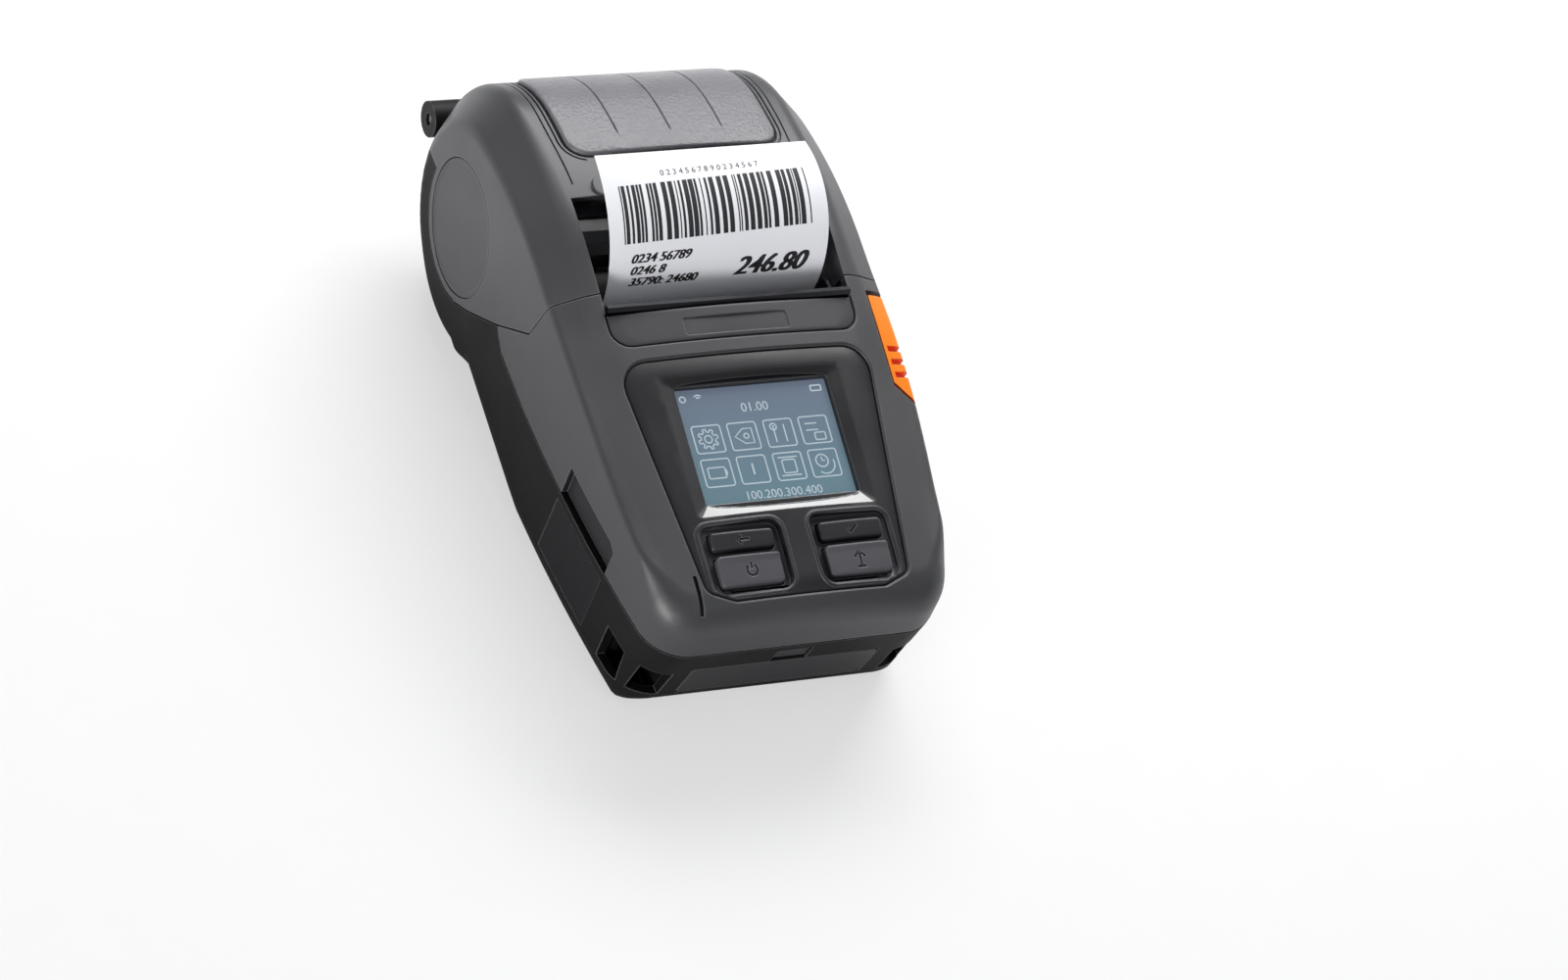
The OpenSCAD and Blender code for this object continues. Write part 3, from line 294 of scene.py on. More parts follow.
def body_skin(name, inset, around, along):
    """The body drawn inset inside its skin: rays leave a line along the drum and deck, square to it between
    the ends and fanned over a half turn at each end, and stop where the form is. They stand closer around
    the bevels, by a bell curve of their angle from each one."""
    fine = np.linspace(-math.pi, math.pi, 4001)
    from_level = np.abs(np.abs(fine) - math.pi / 2 * (1 + np.sign(np.abs(fine) - math.pi / 2)))
    near = lambda centre, width: np.exp(-((np.degrees(from_level) - centre) / width) ** 2)
    dense = np.cumsum(1 + (fine > 0) * 4.0 * near(38, 11) + (fine < 0) * 2.0 * near(30, 9))
    turn = np.interp(np.linspace(dense[0], dense[-1], around + 1)[:-1], dense, fine)
    fan, between = along // 4, along // 2
    lean = np.concatenate([np.linspace(-90, 0, fan, endpoint=False)[1:], np.zeros(between),
                           np.linspace(0, 90, fan + 1)[1:-1]])
    way = np.concatenate([np.zeros(fan - 1), np.linspace(0, 1, between), np.ones(fan - 1)])
    lean, way = np.radians(lean)[:, None], way[:, None]
    ends = np.array([[0, -100.0, 22.0], [0, 2.0, 32.0]])
    start = (ends[0] * (1 - way)[..., None] + ends[1] * way[..., None]) + turn[None, :, None] * 0
    ray = np.stack([np.cos(turn) * np.cos(lean), np.sin(lean) + turn * 0, np.sin(turn) * np.cos(lean)], -1)
    form = lambda x, y, z: body(x, y, z) + inset
    skin = out_to(form, start.reshape(-1, 3), ray.reshape(-1, 3))
    poles = out_to(form, ends, np.array([[0, -1.0, 0], [0, 1.0, 0]]))
    rows = len(lean)
    i, j = np.meshgrid(np.arange(rows - 1), np.arange(around), indexing="ij")
    k = (j + 1) % around
    quads = np.stack([i * around + j, (i + 1) * around + j, (i + 1) * around + k, i * around + k], -1)
    first, last, j = rows * around, rows * around + 1, np.arange(around)
    k = (j + 1) % around
    inner = (rows - 1) * around
    caps = np.vstack([np.stack([j * 0 + first, j, k], 1), np.stack([j * 0 + last, k + inner, j + inner], 1)])
    return put(name, np.vstack([skin, poles]), [quads.reshape(-1, 4), caps])


skin_full = body_skin("body_skin", 0.0, 340, 208)
skin_wall = body_skin("body_wall", shell_wall, 120, 80)

# Lower housing
# The black lower shell: belly, lower front face and tail, with eyelets through both front corners, a bay for
# the battery and a pocket for the ports. Injection moulded ABS, 2.2 mm walls, screwed to the upper shell.
seam, seam_half = np.array([[-140, 26.0], [-50, 26.0], [-33.5, 27.0]]), 0.25
screw_posts, post_radius, screw_head_radius = ((35.3, -62), (32.6, -101.5)), 2.7, 2.5
floor_z, front_clear = 0.6, -126
bay_half, bay_low, bay_high = 23.3, 6.9, 18.5
catch_half, catch_low, catch_high = 4.4, 18.2, 23.9
port_front, port_rear, port_low, port_high, port_wall = -98.6, -71.8, 5.6, 25.2, 1.4
pin_bore = 1.52
hinge = (33.5, 33.0)
knuckle_radius, knuckle_room = 4.3, 4.6


def trim(solid, how, *tools):
    """Keeps, takes away or joins solids, and removes the tools."""
    for tool in tools:
        m = solid.modifiers.new("trim", "BOOLEAN")
        m.operation, m.solver, m.object = how, "MANIFOLD", tool
    graph = bpy.context.evaluated_depsgraph_get()
    mesh = bpy.data.meshes.new_from_object(solid.evaluated_get(graph))
    solid.modifiers.clear()
    solid.data = mesh
    for tool in tools:
        bpy.data.objects.remove(tool)
    if len(mesh.polygons) == 0:
        raise RuntimeError(solid.name + " was trimmed away")
    return solid


def copy_of(o, name):
    """A second object with its own copy of the mesh."""
    c = bpy.data.objects.new(name, o.data.copy())
    scene.collection.objects.link(c)
    return c


def slab(x0, x1, outline):
    """A solid from a side-view outline (y, z), carried across the width from x0 to x1."""
    q = np.asarray(outline, float)
    rings = [np.column_stack([np.full(len(q), x), q]) for x in (x0, x1)]
    return put("tool", np.vstack(rings), band_faces(2, len(q)))


def on_side(points):
    """Deck points (along, up) in the side view."""
    q = np.asarray(points, float)
    return np.column_stack([deck_zero[0] + q[:, 0] * math.cos(tilt) - q[:, 1] * math.sin(tilt),
                            deck_zero[1] + q[:, 0] * math.sin(tilt) + q[:, 1] * math.cos(tilt)])


def round_points(x, y, r, sides=32):
    """Points evenly round a circle: centre plus r times cosine and sine."""
    a = np.linspace(0, 2 * math.pi, sides, endpoint=False)
    return np.column_stack([x + r * np.cos(a), y + r * np.sin(a)])


def bar(centre, radius, x0, x1, sides=48):
    """A round bar across the width."""
    return slab(x0, x1, round_points(*centre, radius, sides))


def block(x0, x1, y0, y1, z0, z1):
    """A box between two corners."""
    return slab(x0, x1, [[y0, z0], [y1, z0], [y1, z1], [y0, z1]])


def level(outline, z):
    """A plan outline lifted to one height."""
    return np.column_stack([outline, np.full(len(outline), z)])


def prism(points, z0, z1):
    """An upright solid from a plan outline (x, y)."""
    q = np.asarray(points, float)
    return put("tool", np.vstack([level(q, z) for z in (z0, z1)]), band_faces(2, len(q)))


def pair(make):
    """The same tool on both sides of the middle."""
    return [make(1), make(-1)]


def cover_side(g):
    """Side view of the cover, drawn g inside: front edge, step, round lower edge of the cheeks, rear end."""
    corners = [on_side([[23.6, 12]])[0], [-43.7, 52.9], [-40.8, 41.7], [-27.9, 30.2], [-14.8, 20.2],
               [-8, 15.9]]
    lead = np.array(corners) + g * np.array([0.8, 0.6])
    a = np.radians(np.linspace(246, 363, 40))
    arc = roll_centre + (18.2 - g) * np.column_stack([np.cos(a), np.sin(a)])
    return slab(-100, 100, np.vstack([lead, arc, [[60, 33.5 + g], [60, 100]]]))


def round_post(x, y, z0, z1, r):
    """An upright round bar."""
    return prism(round_points(x, y, r), z0, z1)


def post_tools(z0, z1, r):
    """One upright bar at each screw post."""
    return [round_post(x * m, y, z0, z1, r) for x, y in screw_posts for m in (1, -1)]


def side_span(m, near, far):
    """Two widths on side m of the middle, the smaller first."""
    return sorted((near * m, far * m))


def eyelet(m):
    """Front mouth and side mouth of one corner eyelet."""
    low, high = 7.2, 17.2
    return [block(*side_span(m, 27.6, 34.4), front_clear, -113, low, high),
            block(*side_span(m, 32.0, 44.0), -112.6, -105, low, high)]


def slope_of(form, p):
    """Unit gradient of a distance, by central differences of 0.01 mm."""
    g = np.stack([form(*(p + d).T) - form(*(p - d).T) for d in np.eye(3) * 0.01], 1)
    return g / np.maximum(np.linalg.norm(g, axis=1), 1e-9)[:, None]


def face_facts(o):
    """Each face's middle in millimetres and its outward normal."""
    mesh = o.data
    middle, normal = np.empty(len(mesh.polygons) * 3), np.empty(len(mesh.polygons) * 3)
    mesh.polygons.foreach_get("center", middle)
    mesh.polygons.foreach_get("normal", normal)
    return middle.reshape(-1, 3) * 1000 - [0, roll_to_frame, 0], normal.reshape(-1, 3)


def soften(o, form=None, angle=38):
    """Smooth shading with edges over angle kept sharp. Where a form is given, a corner whose face lies
    within 18 degrees of the form's slope takes that slope as its normal."""
    alike = 0.95
    mesh = o.data
    mesh.polygons.foreach_set("use_smooth", np.ones(len(mesh.polygons), bool))
    mesh.set_sharp_from_angle(angle=math.radians(angle))
    mesh.update()
    if form is None:
        return o
    co = np.empty(len(mesh.vertices) * 3)
    mesh.vertices.foreach_get("co", co)
    slope = slope_of(form, co.reshape(-1, 3) * 1000 - [0, roll_to_frame, 0])
    corner = np.empty(len(mesh.loops), int)
    mesh.loops.foreach_get("vertex_index", corner)
    count = np.empty(len(mesh.polygons), int)
    mesh.polygons.foreach_get("loop_total", count)
    face = np.repeat(face_facts(o)[1], count, axis=0)
    n = slope[corner]
    dot = np.sum(n * face, 1)
    n = np.where(np.abs(dot)[:, None] > alike, n * np.sign(dot)[:, None], 0.0)
    mesh.normals_split_custom_set(n.tolist())
    return o


# Edges take a painted highlight in this paler tone, over the radius that also rounds their shading normal
bevel_highlight_radius, edge_highlight_tone = 0.35, "#b4b4b8"


def moulded(name, code, grain, depth, rough, edge_highlight=0.32, shine=0.4):
    """Spark-eroded plastic: one grain of bumps, a slow change of gloss, and a painted highlight on the edges,
    a paler tone laid where the normal averaged over a small radius leaves the true one. Grain and depth are
    millimetres; two grains go to one cell of noise, because a cell holds one rise and one dip."""
    mat, t, out, where = blank(name)
    fine = add(t, "ShaderNodeTexNoise", {"Scale": per_mm(0.5 / grain), "Detail": 2.0, "Roughness": 0.6},
               {"Vector": where})
    slow = add(t, "ShaderNodeTexNoise", {"Scale": per_mm(0.045), "Detail": 3.0}, {"Vector": where})
    rim = add(t, "ShaderNodeBevel", {"Radius": bevel_highlight_radius / 1000}, samples=4)
    bump = add(t, "ShaderNodeBump", {"Strength": 0.6, "Distance": depth / 1000},
               {"Height": fine.outputs["Fac"], "Normal": rim.outputs[0]})
    base = linear(code)
    lift = tuple(min(1, c * 1.12) for c in base[:3]) + (1,)
    drop = tuple(c * 0.9 for c in base[:3]) + (1,)
    tone = add(t, "ShaderNodeMix", {6: drop, 7: lift}, {0: slow.outputs["Fac"]}, data_type="RGBA")
    true = add(t, "ShaderNodeNewGeometry")
    same = add(t, "ShaderNodeVectorMath", {}, {0: rim.outputs[0], 1: true.outputs["Normal"]},
               operation="DOT_PRODUCT")
    # Painted highlight: the paler tone is mixed in where the averaged normal leaves the true one
    painted_highlight = add(t, "ShaderNodeMapRange", {1: 0.995, 2: 0.86, 3: 0.0, 4: edge_highlight}, {0: same.outputs["Value"]})
    highlighted = add(t, "ShaderNodeMix", {7: linear(edge_highlight_tone)}, {0: painted_highlight.outputs[0], 6: tone.outputs[2]},
               data_type="RGBA")
    gloss = add(t, "ShaderNodeMapRange", {1: 0.3, 2: 0.7, 3: rough - 0.05, 4: rough + 0.06},
                {0: slow.outputs["Fac"]})
    skin = add(t, "ShaderNodeBsdfPrincipled", {"IOR": 1.5, "Specular IOR Level": shine},
               {"Base Color": highlighted.outputs[2], "Roughness": gloss.outputs[0], "Normal": bump.outputs[0]})
    t.links.new(skin.outputs[0], out.inputs["Surface"])
    return mat


def dress(o, mat, body_name, slot_name, *replaced):
    """One material, the body it rides on, the record's slot, which is not used, and the CAD nodes it stands
    for.
    """
    o.data.materials.clear()
    o.data.materials.append(mat)
    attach(o, body_name)
    if replaced:
        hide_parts(*replaced)
    return o


lower = copy_of(skin_full, "lower_shell")
lower_outline = [[-140, -5], [60, -5], [60, 33.1], [18, 33.1], [-27.9, 30.1], *(seam[::-1] - [0, seam_half])]
trim(lower, "INTERSECT", slab(-60, 60, lower_outline))
trim(lower, "DIFFERENCE", copy_of(skin_wall, "tool"), cover_side(0), bar(hinge, knuckle_room, 11.6, 30),
     bar(hinge, knuckle_room, -30, -11.6))
# Screw posts, the bay's walls and rails, and the hinge knuckles
bay_wall = [[-103, 1.5], [-112, 1.5], [-116, 5.5], [-120.3, 24], [-103, 24]]
bay_rail = [[-112, 1.5], [-68, 1.5], [-68, 7], [-112, 7]]
trim(lower, "UNION", *post_tools(floor_z, 25.7, post_radius),
     *pair(lambda m: slab(*side_span(m, 26.0, 27.0), bay_wall)),
     *pair(lambda m: slab(*side_span(m, 14.0, 16.0), bay_rail)),
     *pair(lambda m: bar(hinge, knuckle_radius, *side_span(m, 30.2, 38.0))),
     bar(hinge, knuckle_radius, -11.4, 11.4))
# The port pocket: a wall behind it and one at each end
trim(lower, "UNION", block(-36.6, -35.5, port_front, port_rear, 1.8, port_high),
     block(-38, -36.2, port_front, port_front + port_wall, port_low, port_high),
     block(-39.8, -36.2, port_rear - port_wall, port_rear, port_low, port_high))
# Eyelets, battery bay, catch opening, port pocket and its slot, pin bore and screw holes
trim(lower, "DIFFERENCE", *eyelet(1), *eyelet(-1),
     block(-bay_half, bay_half, front_clear, -114, bay_low, bay_high),
     block(-catch_half, catch_half, front_clear, -114.5, catch_low, catch_high),
     block(-44, -36.6, -97, -73.4, 7.5, 23.6), block(-38, -34, -85.6, -76.2, 13.1, 16.9),
     bar(hinge, pin_bore, -39, 39), *post_tools(-1, 2.6, screw_head_radius))
soften(lower, body)
# Spark-eroded black ABS: an even fine grain that kills highlights, so the shell reads matt
dress(lower, moulded("abs_spark_eroded_black", "#101011", 0.30, 0.02, 0.55, shine=0.15),
      "base", "lower_shell", "lower_housing")

# Upper housing
# The dark grey upper shell: deck surround, side flats and nose, with the inset panel's pocket, the exit
# plate's pocket and the scoop over the ports. Moulded like the lower shell, but paler and a little glossier.
panel_edge = [[-31.2, 6, 6], [-24.8, -49.8, 3], [-18.5, -52.3, 3], [18.5, -52.3, 3], [24.8, -49.8, 3],
              [31.2, 6, 6]]
slot_half, slot_front = 30.6, 18.1
plate_edge = [[-slot_half, slot_front, 0.05], [-slot_half, 10, 4.5], [slot_half, 10, 4.5],
              [slot_half, slot_front, 0.05]]
upper = copy_of(skin_full, "upper_shell")
upper_outline = [*(seam + [0, seam_half]), [-27.9, 30.5], [-10, 30.5], [-10, 100], [-140, 100]]
trim(upper, "INTERSECT", slab(-60, 60, upper_outline))
trim(upper, "DIFFERENCE", copy_of(skin_wall, "tool"), cover_side(0))
post_tops = (43, 41)
trim(upper, "UNION", *[round_post(x * m, y, 26.2, top, post_radius)
                       for (x, y), top in zip(screw_posts, post_tops) for m in (1, -1)])


def rounded(corners, g=0.0, steps=7, between=14):
    """A closed outline with rounded corners (x, y, radius), every edge moved g outwards, with points
    spread evenly along the straight runs."""
    c = np.asarray(corners, float)
    p = c[:, :2]
    n = len(p)
    turn = np.sign(np.sum(p[:, 0] * np.roll(p[:, 1], -1) - np.roll(p[:, 0], -1) * p[:, 1]))
    d = np.roll(p, -1, 0) - p
    d /= np.linalg.norm(d, axis=1)[:, None]
    out = np.column_stack([d[:, 1], -d[:, 0]]) * turn
    shifted = []
    for i in range(n):
        a, b = out[i - 1], out[i]
        shifted.append(p[i] + g * (a + b) / (1 + float(a @ b)))
    shifted = np.array(shifted)
    line = []
    for i in range(n):
        b, a, e = shifted[i], shifted[i - 1], shifted[(i + 1) % n]
        u, v = (a - b) / np.linalg.norm(a - b), (e - b) / np.linalg.norm(e - b)
        half = math.acos(max(-1, min(1, float(u @ v)))) / 2
        r = max(c[i, 2] + g, 0.02)
        m = b + (u + v) / np.linalg.norm(u + v) * r / math.sin(half)
        s0, s1 = b + u * r / math.tan(half) - m, b + v * r / math.tan(half) - m
        a0 = math.atan2(s0[1], s0[0])
        da = math.atan2(s0[0] * s1[1] - s0[1] * s1[0], float(s0 @ s1))
        w = a0 + da * np.linspace(0, 1, steps)
        line.append(m + r * np.column_stack([np.cos(w), np.sin(w)]))
    ring = []
    for i in range(n):
        ring.append(line[i])
        k = np.linspace(0, 1, between + 2)[1:-1, None]
        ring.append(line[i][-1] * (1 - k) + line[(i + 1) % n][0] * k)
    return np.vstack(ring)


def deck_solid(rings):
    """A solid through closed rings (x, along, up) on the deck."""
    p = np.asarray(rings, float)
    flat = p.reshape(-1, 3)
    return put("tool", np.column_stack([flat[:, 0], on_side(flat[:, 1:])]), band_faces(*p.shape[:2]))


def run_base(s):
    """Point and outward way in the side view for places along the top run."""
    s = np.ravel(s).astype(float)
    end = crest_from + crest_run
    deck = on_side(np.column_stack([s, s * 0]))
    on_crest = s < end
    a = np.where(on_crest, crest_start - (s - crest_from) / crest_radius, crest_end - (s - end) / roll_radius)
    round_way = np.column_stack([np.cos(a), np.sin(a)])
    arc = np.where(on_crest[:, None], crest_centre + crest_radius * round_way,
                   roll_centre + roll_radius * round_way)
    flat = (s < crest_from)[:, None]
    return np.where(flat, deck, arc), np.where(flat, [-math.sin(tilt), math.cos(tilt)], round_way)


def on_skin(x, s, h):
    """Points h over the skin at width x and run s, found along the way out of the top line."""
    x, s = np.ravel(x).astype(float), np.ravel(s).astype(float)
    base, way = run_base(s)
    out = np.column_stack([x * 0, way])
    hit = out_to(body, np.column_stack([x, base]) - out * 14, out, 20.0)
    return hit + out * np.ravel(h)[:, None]


def skin_solid(rings):
    """A solid through closed rings (x, run, height over the skin)."""
    p = np.asarray(rings, float)
    f = p.reshape(-1, 3)
    return put("tool", on_skin(f[:, 0], f[:, 1], f[:, 2]), band_faces(*p.shape[:2]))


def run_well(corners, g, floor, lip):
    """A pocket following the skin, its rim cut back by a flat chamfer of width lip."""
    return skin_solid([level(rounded(corners, g + extra), h)
                       for extra, h in ((0, floor), (0, -lip), (lip, 0.02), (lip * 1.02, 4.0))])


# The lever's notch in the side view: flat front, slanted foot and a round tail
tail = np.radians(np.linspace(-56, 90, 14))
tail_way = np.column_stack([np.cos(tail), np.sin(tail)])
lever_tail, lever_radius, notch_radius = np.array([14.6, -4.6]), 4.3, 5.5
lever_notch = on_side(np.vstack([[[-10.05, 4], [-10.05, -8.4], [-9.3, -12.2], [6.5, -9.8]],
                                 lever_tail + notch_radius * tail_way, [[13, 4]]]))


def lever_corner(g):
    """The slanted front inner corner that the lever leaves to the housing, g larger. On the lever it gives
    way by a further 2 mm at the top, because the lever's top runs forward as it is pressed."""
    corner = [[33.0, -4.6], [36.0, -4.6], [41.6, -10.9], [41.6, -14], [33.0, -14]]
    q = np.array(corner) + [g * 0.75, g * 0.65]
    top_give = 2 if g else 0
    return deck_solid([level(q, -16), level(q, -8), level(q + [0, top_give], 8)])


scoop = slab(-60, -36, [[-97.4, 22], [-97.4, 33.2], [-95, 34.6], [-73.7, 34.6], [-73.7, 22]])
scoop_depth = 1.5
trim(scoop, "DIFFERENCE", body_skin("tool", scoop_depth, 120, 80))
panel_opening = rounded(panel_edge, -1.9)
trim(upper, "DIFFERENCE", run_well(panel_edge, 0.25, -1.5, 0.5), run_well(plate_edge, 0.2, -1.5, 0.35), scoop,
     deck_solid([level(panel_opening, -12), level(panel_opening, 5)]),
     slab(-slot_half, slot_half, on_side([[18.3, -14], [40, -14], [40, 8], [18.3, 8]])),
     trim(slab(35.65, 60, lever_notch), "DIFFERENCE", lever_corner(0.0)))
slit = np.array([[-27.5, -54.6], [-26.5, -54.6], [-26.5, -45.6], [-27.5, -45.6]])
slit = np.vstack([np.linspace(a, b, 6)[:-1] for a, b in zip(slit, np.roll(slit, -1, 0))])
trim(upper, "DIFFERENCE", skin_solid([level(slit, h) for h in (-1.4, 3)]))
soften(upper, body)
# The same spark-eroded ABS in grey: the grain is as fine, and a wider sheen shows the crown of the deck
dress(upper, moulded("abs_spark_eroded_grey", "#38383a", 0.30, 0.02, 0.44, shine=0.55),
      "base", "upper_shell", "upper_housing")
# The scoop's recessed faces: painted shade, blacker than the shell and without its sheen
upper.data.materials.append(moulded("scoop_painted_shade_black", "#17171a", 0.5, 0.03, 0.6))
# Faces 0.25 to 1.8 mm down in the scoop take the painted shade
middle = face_facts(upper)[0]
depth = -body(*middle.T)
in_scoop = (middle[:, 0] < -30) & (np.abs(middle[:, 1] + 85.5) < 12.5) & (middle[:, 2] < 35)
upper.data.polygons.foreach_set("material_index", (in_scoop & (depth > 0.25) & (depth < 1.8)).astype(int))

# Roll cover
# The round cover over the paper: drum, two cheeks and the arms of its hinge, opening about the pin at the
# roll end. Moulded like the upper shell; the window is let into its top, a disc into each cheek.


def box_corners(x0, x1, y0, y1, r):
    """Four corners with one radius, ready for rounded."""
    return [[x0, y0, r], [x1, y0, r], [x1, y1, r], [x0, y1, r]]


window_edge = box_corners(-26.5, 26.5, 59.9, 96.7, 5)
disc_seat_radius, disc_seat_x = 16.35, 40.25
cover_gap, cover_pin_bore = 0.4, 1.56
cover = copy_of(skin_full, "roll_cover_shell")
trim(cover, "INTERSECT", cover_side(cover_gap))
trim(cover, "DIFFERENCE", copy_of(skin_wall, "tool"),
     slab(-slot_half, slot_half, on_side([[0, -40], [48, -40], [48, 12], [0, 12]])))
cheek_reach = [[-70, 0], [40, 0], [40, 90], [-70, 90]]
drum = trim(copy_of(skin_full, "tool"), "INTERSECT", cover_side(cover_gap))
cheeks = [trim(copy_of(drum, "tool"), "INTERSECT", slab(*side_span(m, slot_half, 32.2), cheek_reach))
          for m in (1, -1)]
bpy.data.objects.remove(drum)
for cheek in cheeks:
    trim(cheek, "DIFFERENCE", slab(-60, 60, [[20, 10], [60, 10], [60, 38], [30, 38], [20, 30]]))
trim(cover, "UNION", *cheeks, *pair(lambda m: bar(hinge, knuckle_radius, *side_span(m, 11.9, 29.7))))
trim(cover, "DIFFERENCE", bar(hinge, knuckle_room, 29.9, 44), bar(hinge, knuckle_room, -44, -29.9),
     bar(hinge, knuckle_room, -11.7, 11.7), bar(hinge, cover_pin_bore, -44, 44),
     bar(roll_centre, disc_seat_radius, disc_seat_x, 50, 96),
     bar(roll_centre, disc_seat_radius, -50, -disc_seat_x, 96), run_well(window_edge, 0.5, -1.0, 0.3),
     skin_solid([level(rounded(window_edge, -1.6), h) for h in (-4, 4)]))
for m in (1, -1):
    # The long line beside the window, drawn in a little towards the slot: a V with a flat floor
    s = np.linspace(52, 128, 90)
    line = m * (29.4 - 0.5 * smooth_step(70, 52, s))
    vee = [np.column_stack([line + o, s, s * 0 + h])
           for o, h in ((-0.3, 0.6), (-0.12, -0.5), (0.12, -0.5), (0.3, 0.6))]
    trim(cover, "DIFFERENCE", skin_solid(np.stack(vee, 1)))
for m in (1, -1):
    # A second line, 1.5 mm outside the window and round its corners
    beside = rounded(window_edge)[:, 0] * m > 22.5
    first, many = int(np.flatnonzero(beside & ~np.roll(beside, 1))[0]), int(beside.sum())
    vee = [level(np.roll(rounded(window_edge, 1.5 + o), -first, axis=0)[:many], h)
           for o, h in ((-0.32, 0.6), (-0.16, -0.6), (0.16, -0.6), (0.32, 0.6))]
    trim(cover, "DIFFERENCE", skin_solid(np.stack(vee, 1)))
# Two posts for the roller's bracket
bracket_post = lambda m: [level(round_points(22 * m, 50.6, 2.6), z) for z in (-8.9, -2.0)]
trim(cover, "UNION", *pair(lambda m: deck_solid(bracket_post(m))))
soften(cover, body)
# Spark-eroded ABS again, polished a little by use: it catches the large lamp along the drum
dress(cover, moulded("abs_spark_eroded_cover_grey", "#3f3f42", 0.30, 0.02, 0.40),
      "cover", "cover_shell", "roll_cover")

# Cover window
# A smoked polycarbonate window bent over the roll, 0.7 mm proud with a rolled edge, three fine V grooves
# in its top. Snapped into its pocket from outside; grained, so it reads lighter than the cover.
window_rise, groove_half = 0.7, 0.5


def named(o, name):
    """Gives a piece cut from a plain tool its own name."""
    o.name = o.data.name = name
    return o


def sheet_solid(corners, low, high, lip, g=0.0, steps=9):
    """A plate that follows the skin: its underside from the middle out, its edge rolled over by a quarter
    round of radius lip, and its top back to the middle."""
    edge = rounded(corners, g)
    mid = edge.mean(0)
    k = np.linspace(0.02, 1, steps)[:, None, None]
    tight = rounded(corners, g - lip)
    rolled = [level(rounded(corners, g - lip * (1 - math.cos(v))), high - lip * (1 - math.sin(v)))
              for v in np.radians([0, 30, 60, 90])]
    under = [level(mid + (edge - mid) * v[0], low) for v in k]
    over = [level(mid + (tight - mid) * v[0], high) for v in k[::-1][1:]]
    return skin_solid(np.array(under + rolled + over))


window = named(sheet_solid(window_edge, -1.0, window_rise, 0.6, g=-0.1, steps=12), "smoked_window")
grooves = []
for x in (-13.2, 0, 13.2):
    s = np.linspace(64.5, 99, 60)
    deep = 0.45 * smooth_step(64.5, 66.5, s)
    vee = [np.column_stack([s * 0 + x + o, s, 0.72 + 0.5 * h + (h < 0) * (-deep)])
           for o, h in ((-groove_half, 1), (0, -0.05), (groove_half, 1))]
    grooves.append(skin_solid(np.stack(vee, 1)))
trim(window, "DIFFERENCE", *grooves)
soften(window, angle=30)
# Polycarbonate with a coarse leather grain: deep enough to scatter the lamp into a pale even sheen
dress(window, moulded("polycarbonate_grained_smoke", "#6c6c70", 0.5, 0.45, 0.36, edge_highlight=0.1),
      "cover", "window", "cover_window")

# Side discs
# One thin round plate in each cheek, with a rolled rim, glued in a shallow recess. Plain grey ABS, with a
# finer grain than the cover round it, so its face is a shade smoother.
disc_mat = moulded("abs_fine_grained_disc", "#3d3d40", 0.2, 0.01, 0.46)
disc_foot, disc_sides = 40.3, 128
profile = [[0.3, 0], [16.2, 0], [16.2, 0.62], [16.05, 0.86], [15.75, 0.95], [15.4, 0.9], [15.1, 0.82],
           [14.6, 0.8], [0.3, 0.8]]
for side, m in (("port", -1), ("starboard", 1)):
    rings = [np.column_stack([np.full(disc_sides, (disc_foot + h) * m),
                              round_points(*roll_centre, r, disc_sides)]) for r, h in profile]
    disc = put("cheek_disc_" + side, np.array(rings), band_faces(len(profile), disc_sides))
    soften(disc)
    dress(disc, disc_mat, "cover", "disc", *(["side_discs"] if m > 0 else []))

# Exit plate
# The strip in front of the label exit: it follows the deck, with a shallow bare recess in its middle.
# Moulded in satin ABS, pressed into its pocket from above.
exit_plate = named(sheet_solid(plate_edge, -1.4, -0.2, 0.35, g=-0.1), "exit_strip")
trim(exit_plate, "INTERSECT", slab(-60, 60, on_side([[5, -9], [slot_front, -9], [slot_front, 6], [5, 6]])))
recess = rounded(box_corners(-13, 13, 11.2, 15.6, 0.8))
trim(exit_plate, "DIFFERENCE", skin_solid([level(recess, h) for h in (-0.5, 3)]))
soften(exit_plate)
# Satin ABS: a finer, shallower grain than the shell's, so its edges stay crisp
dress(exit_plate, moulded("abs_satin_trim", "#3a3a3d", 0.22, 0.012, 0.40), "base", "exit_trim", "exit_plate")

# Screen panel
# The inset panel round screen and keys: it follows the crown, 0.7 mm below the deck, with a sloping bezel
# round the glass and two shallow wells for the keys. Satin ABS, clipped in from above.
panel_sunk = 0.7
glass_half, glass_front, glass_rear = 19, -29.1, -0.8
key_x, key_half, key_rows = 13.4, 7.7, ((-38.5, 4.2), (-45.7, 7.0))
key_gap = 0.3
hole_half = key_half + key_gap
panel = named(sheet_solid(panel_edge, -1.5, -panel_sunk, 0.3, g=-0.05, steps=14), "screen_surround")
trim(panel, "UNION", deck_solid([level(rounded(panel_edge, -2.6), z) for z in (-3.6, -2.2)]))


def skin_up(q):
    """Height of the body's skin over the deck plane at places (x, along)."""
    start = np.column_stack([q[:, 0], on_side(np.column_stack([q[:, 1], np.full(len(q), -14.0)]))])
    way = np.tile([0, -math.sin(tilt), math.cos(tilt)], (len(q), 1))
    hit = out_to(body, start, way, 20.0)
    return deck_place(hit[:, 1], hit[:, 2])[1]


def over_panel(q, h):
    """An outline lifted to h over the panel's own top."""
    return np.column_stack([q, skin_up(q) - panel_sunk + h])


def glass_outline(side, rear, front, r):
    """The glass's outline let out on each side."""
    return rounded(box_corners(-glass_half - side, glass_half + side,
                               glass_front - front, glass_rear + rear, r))


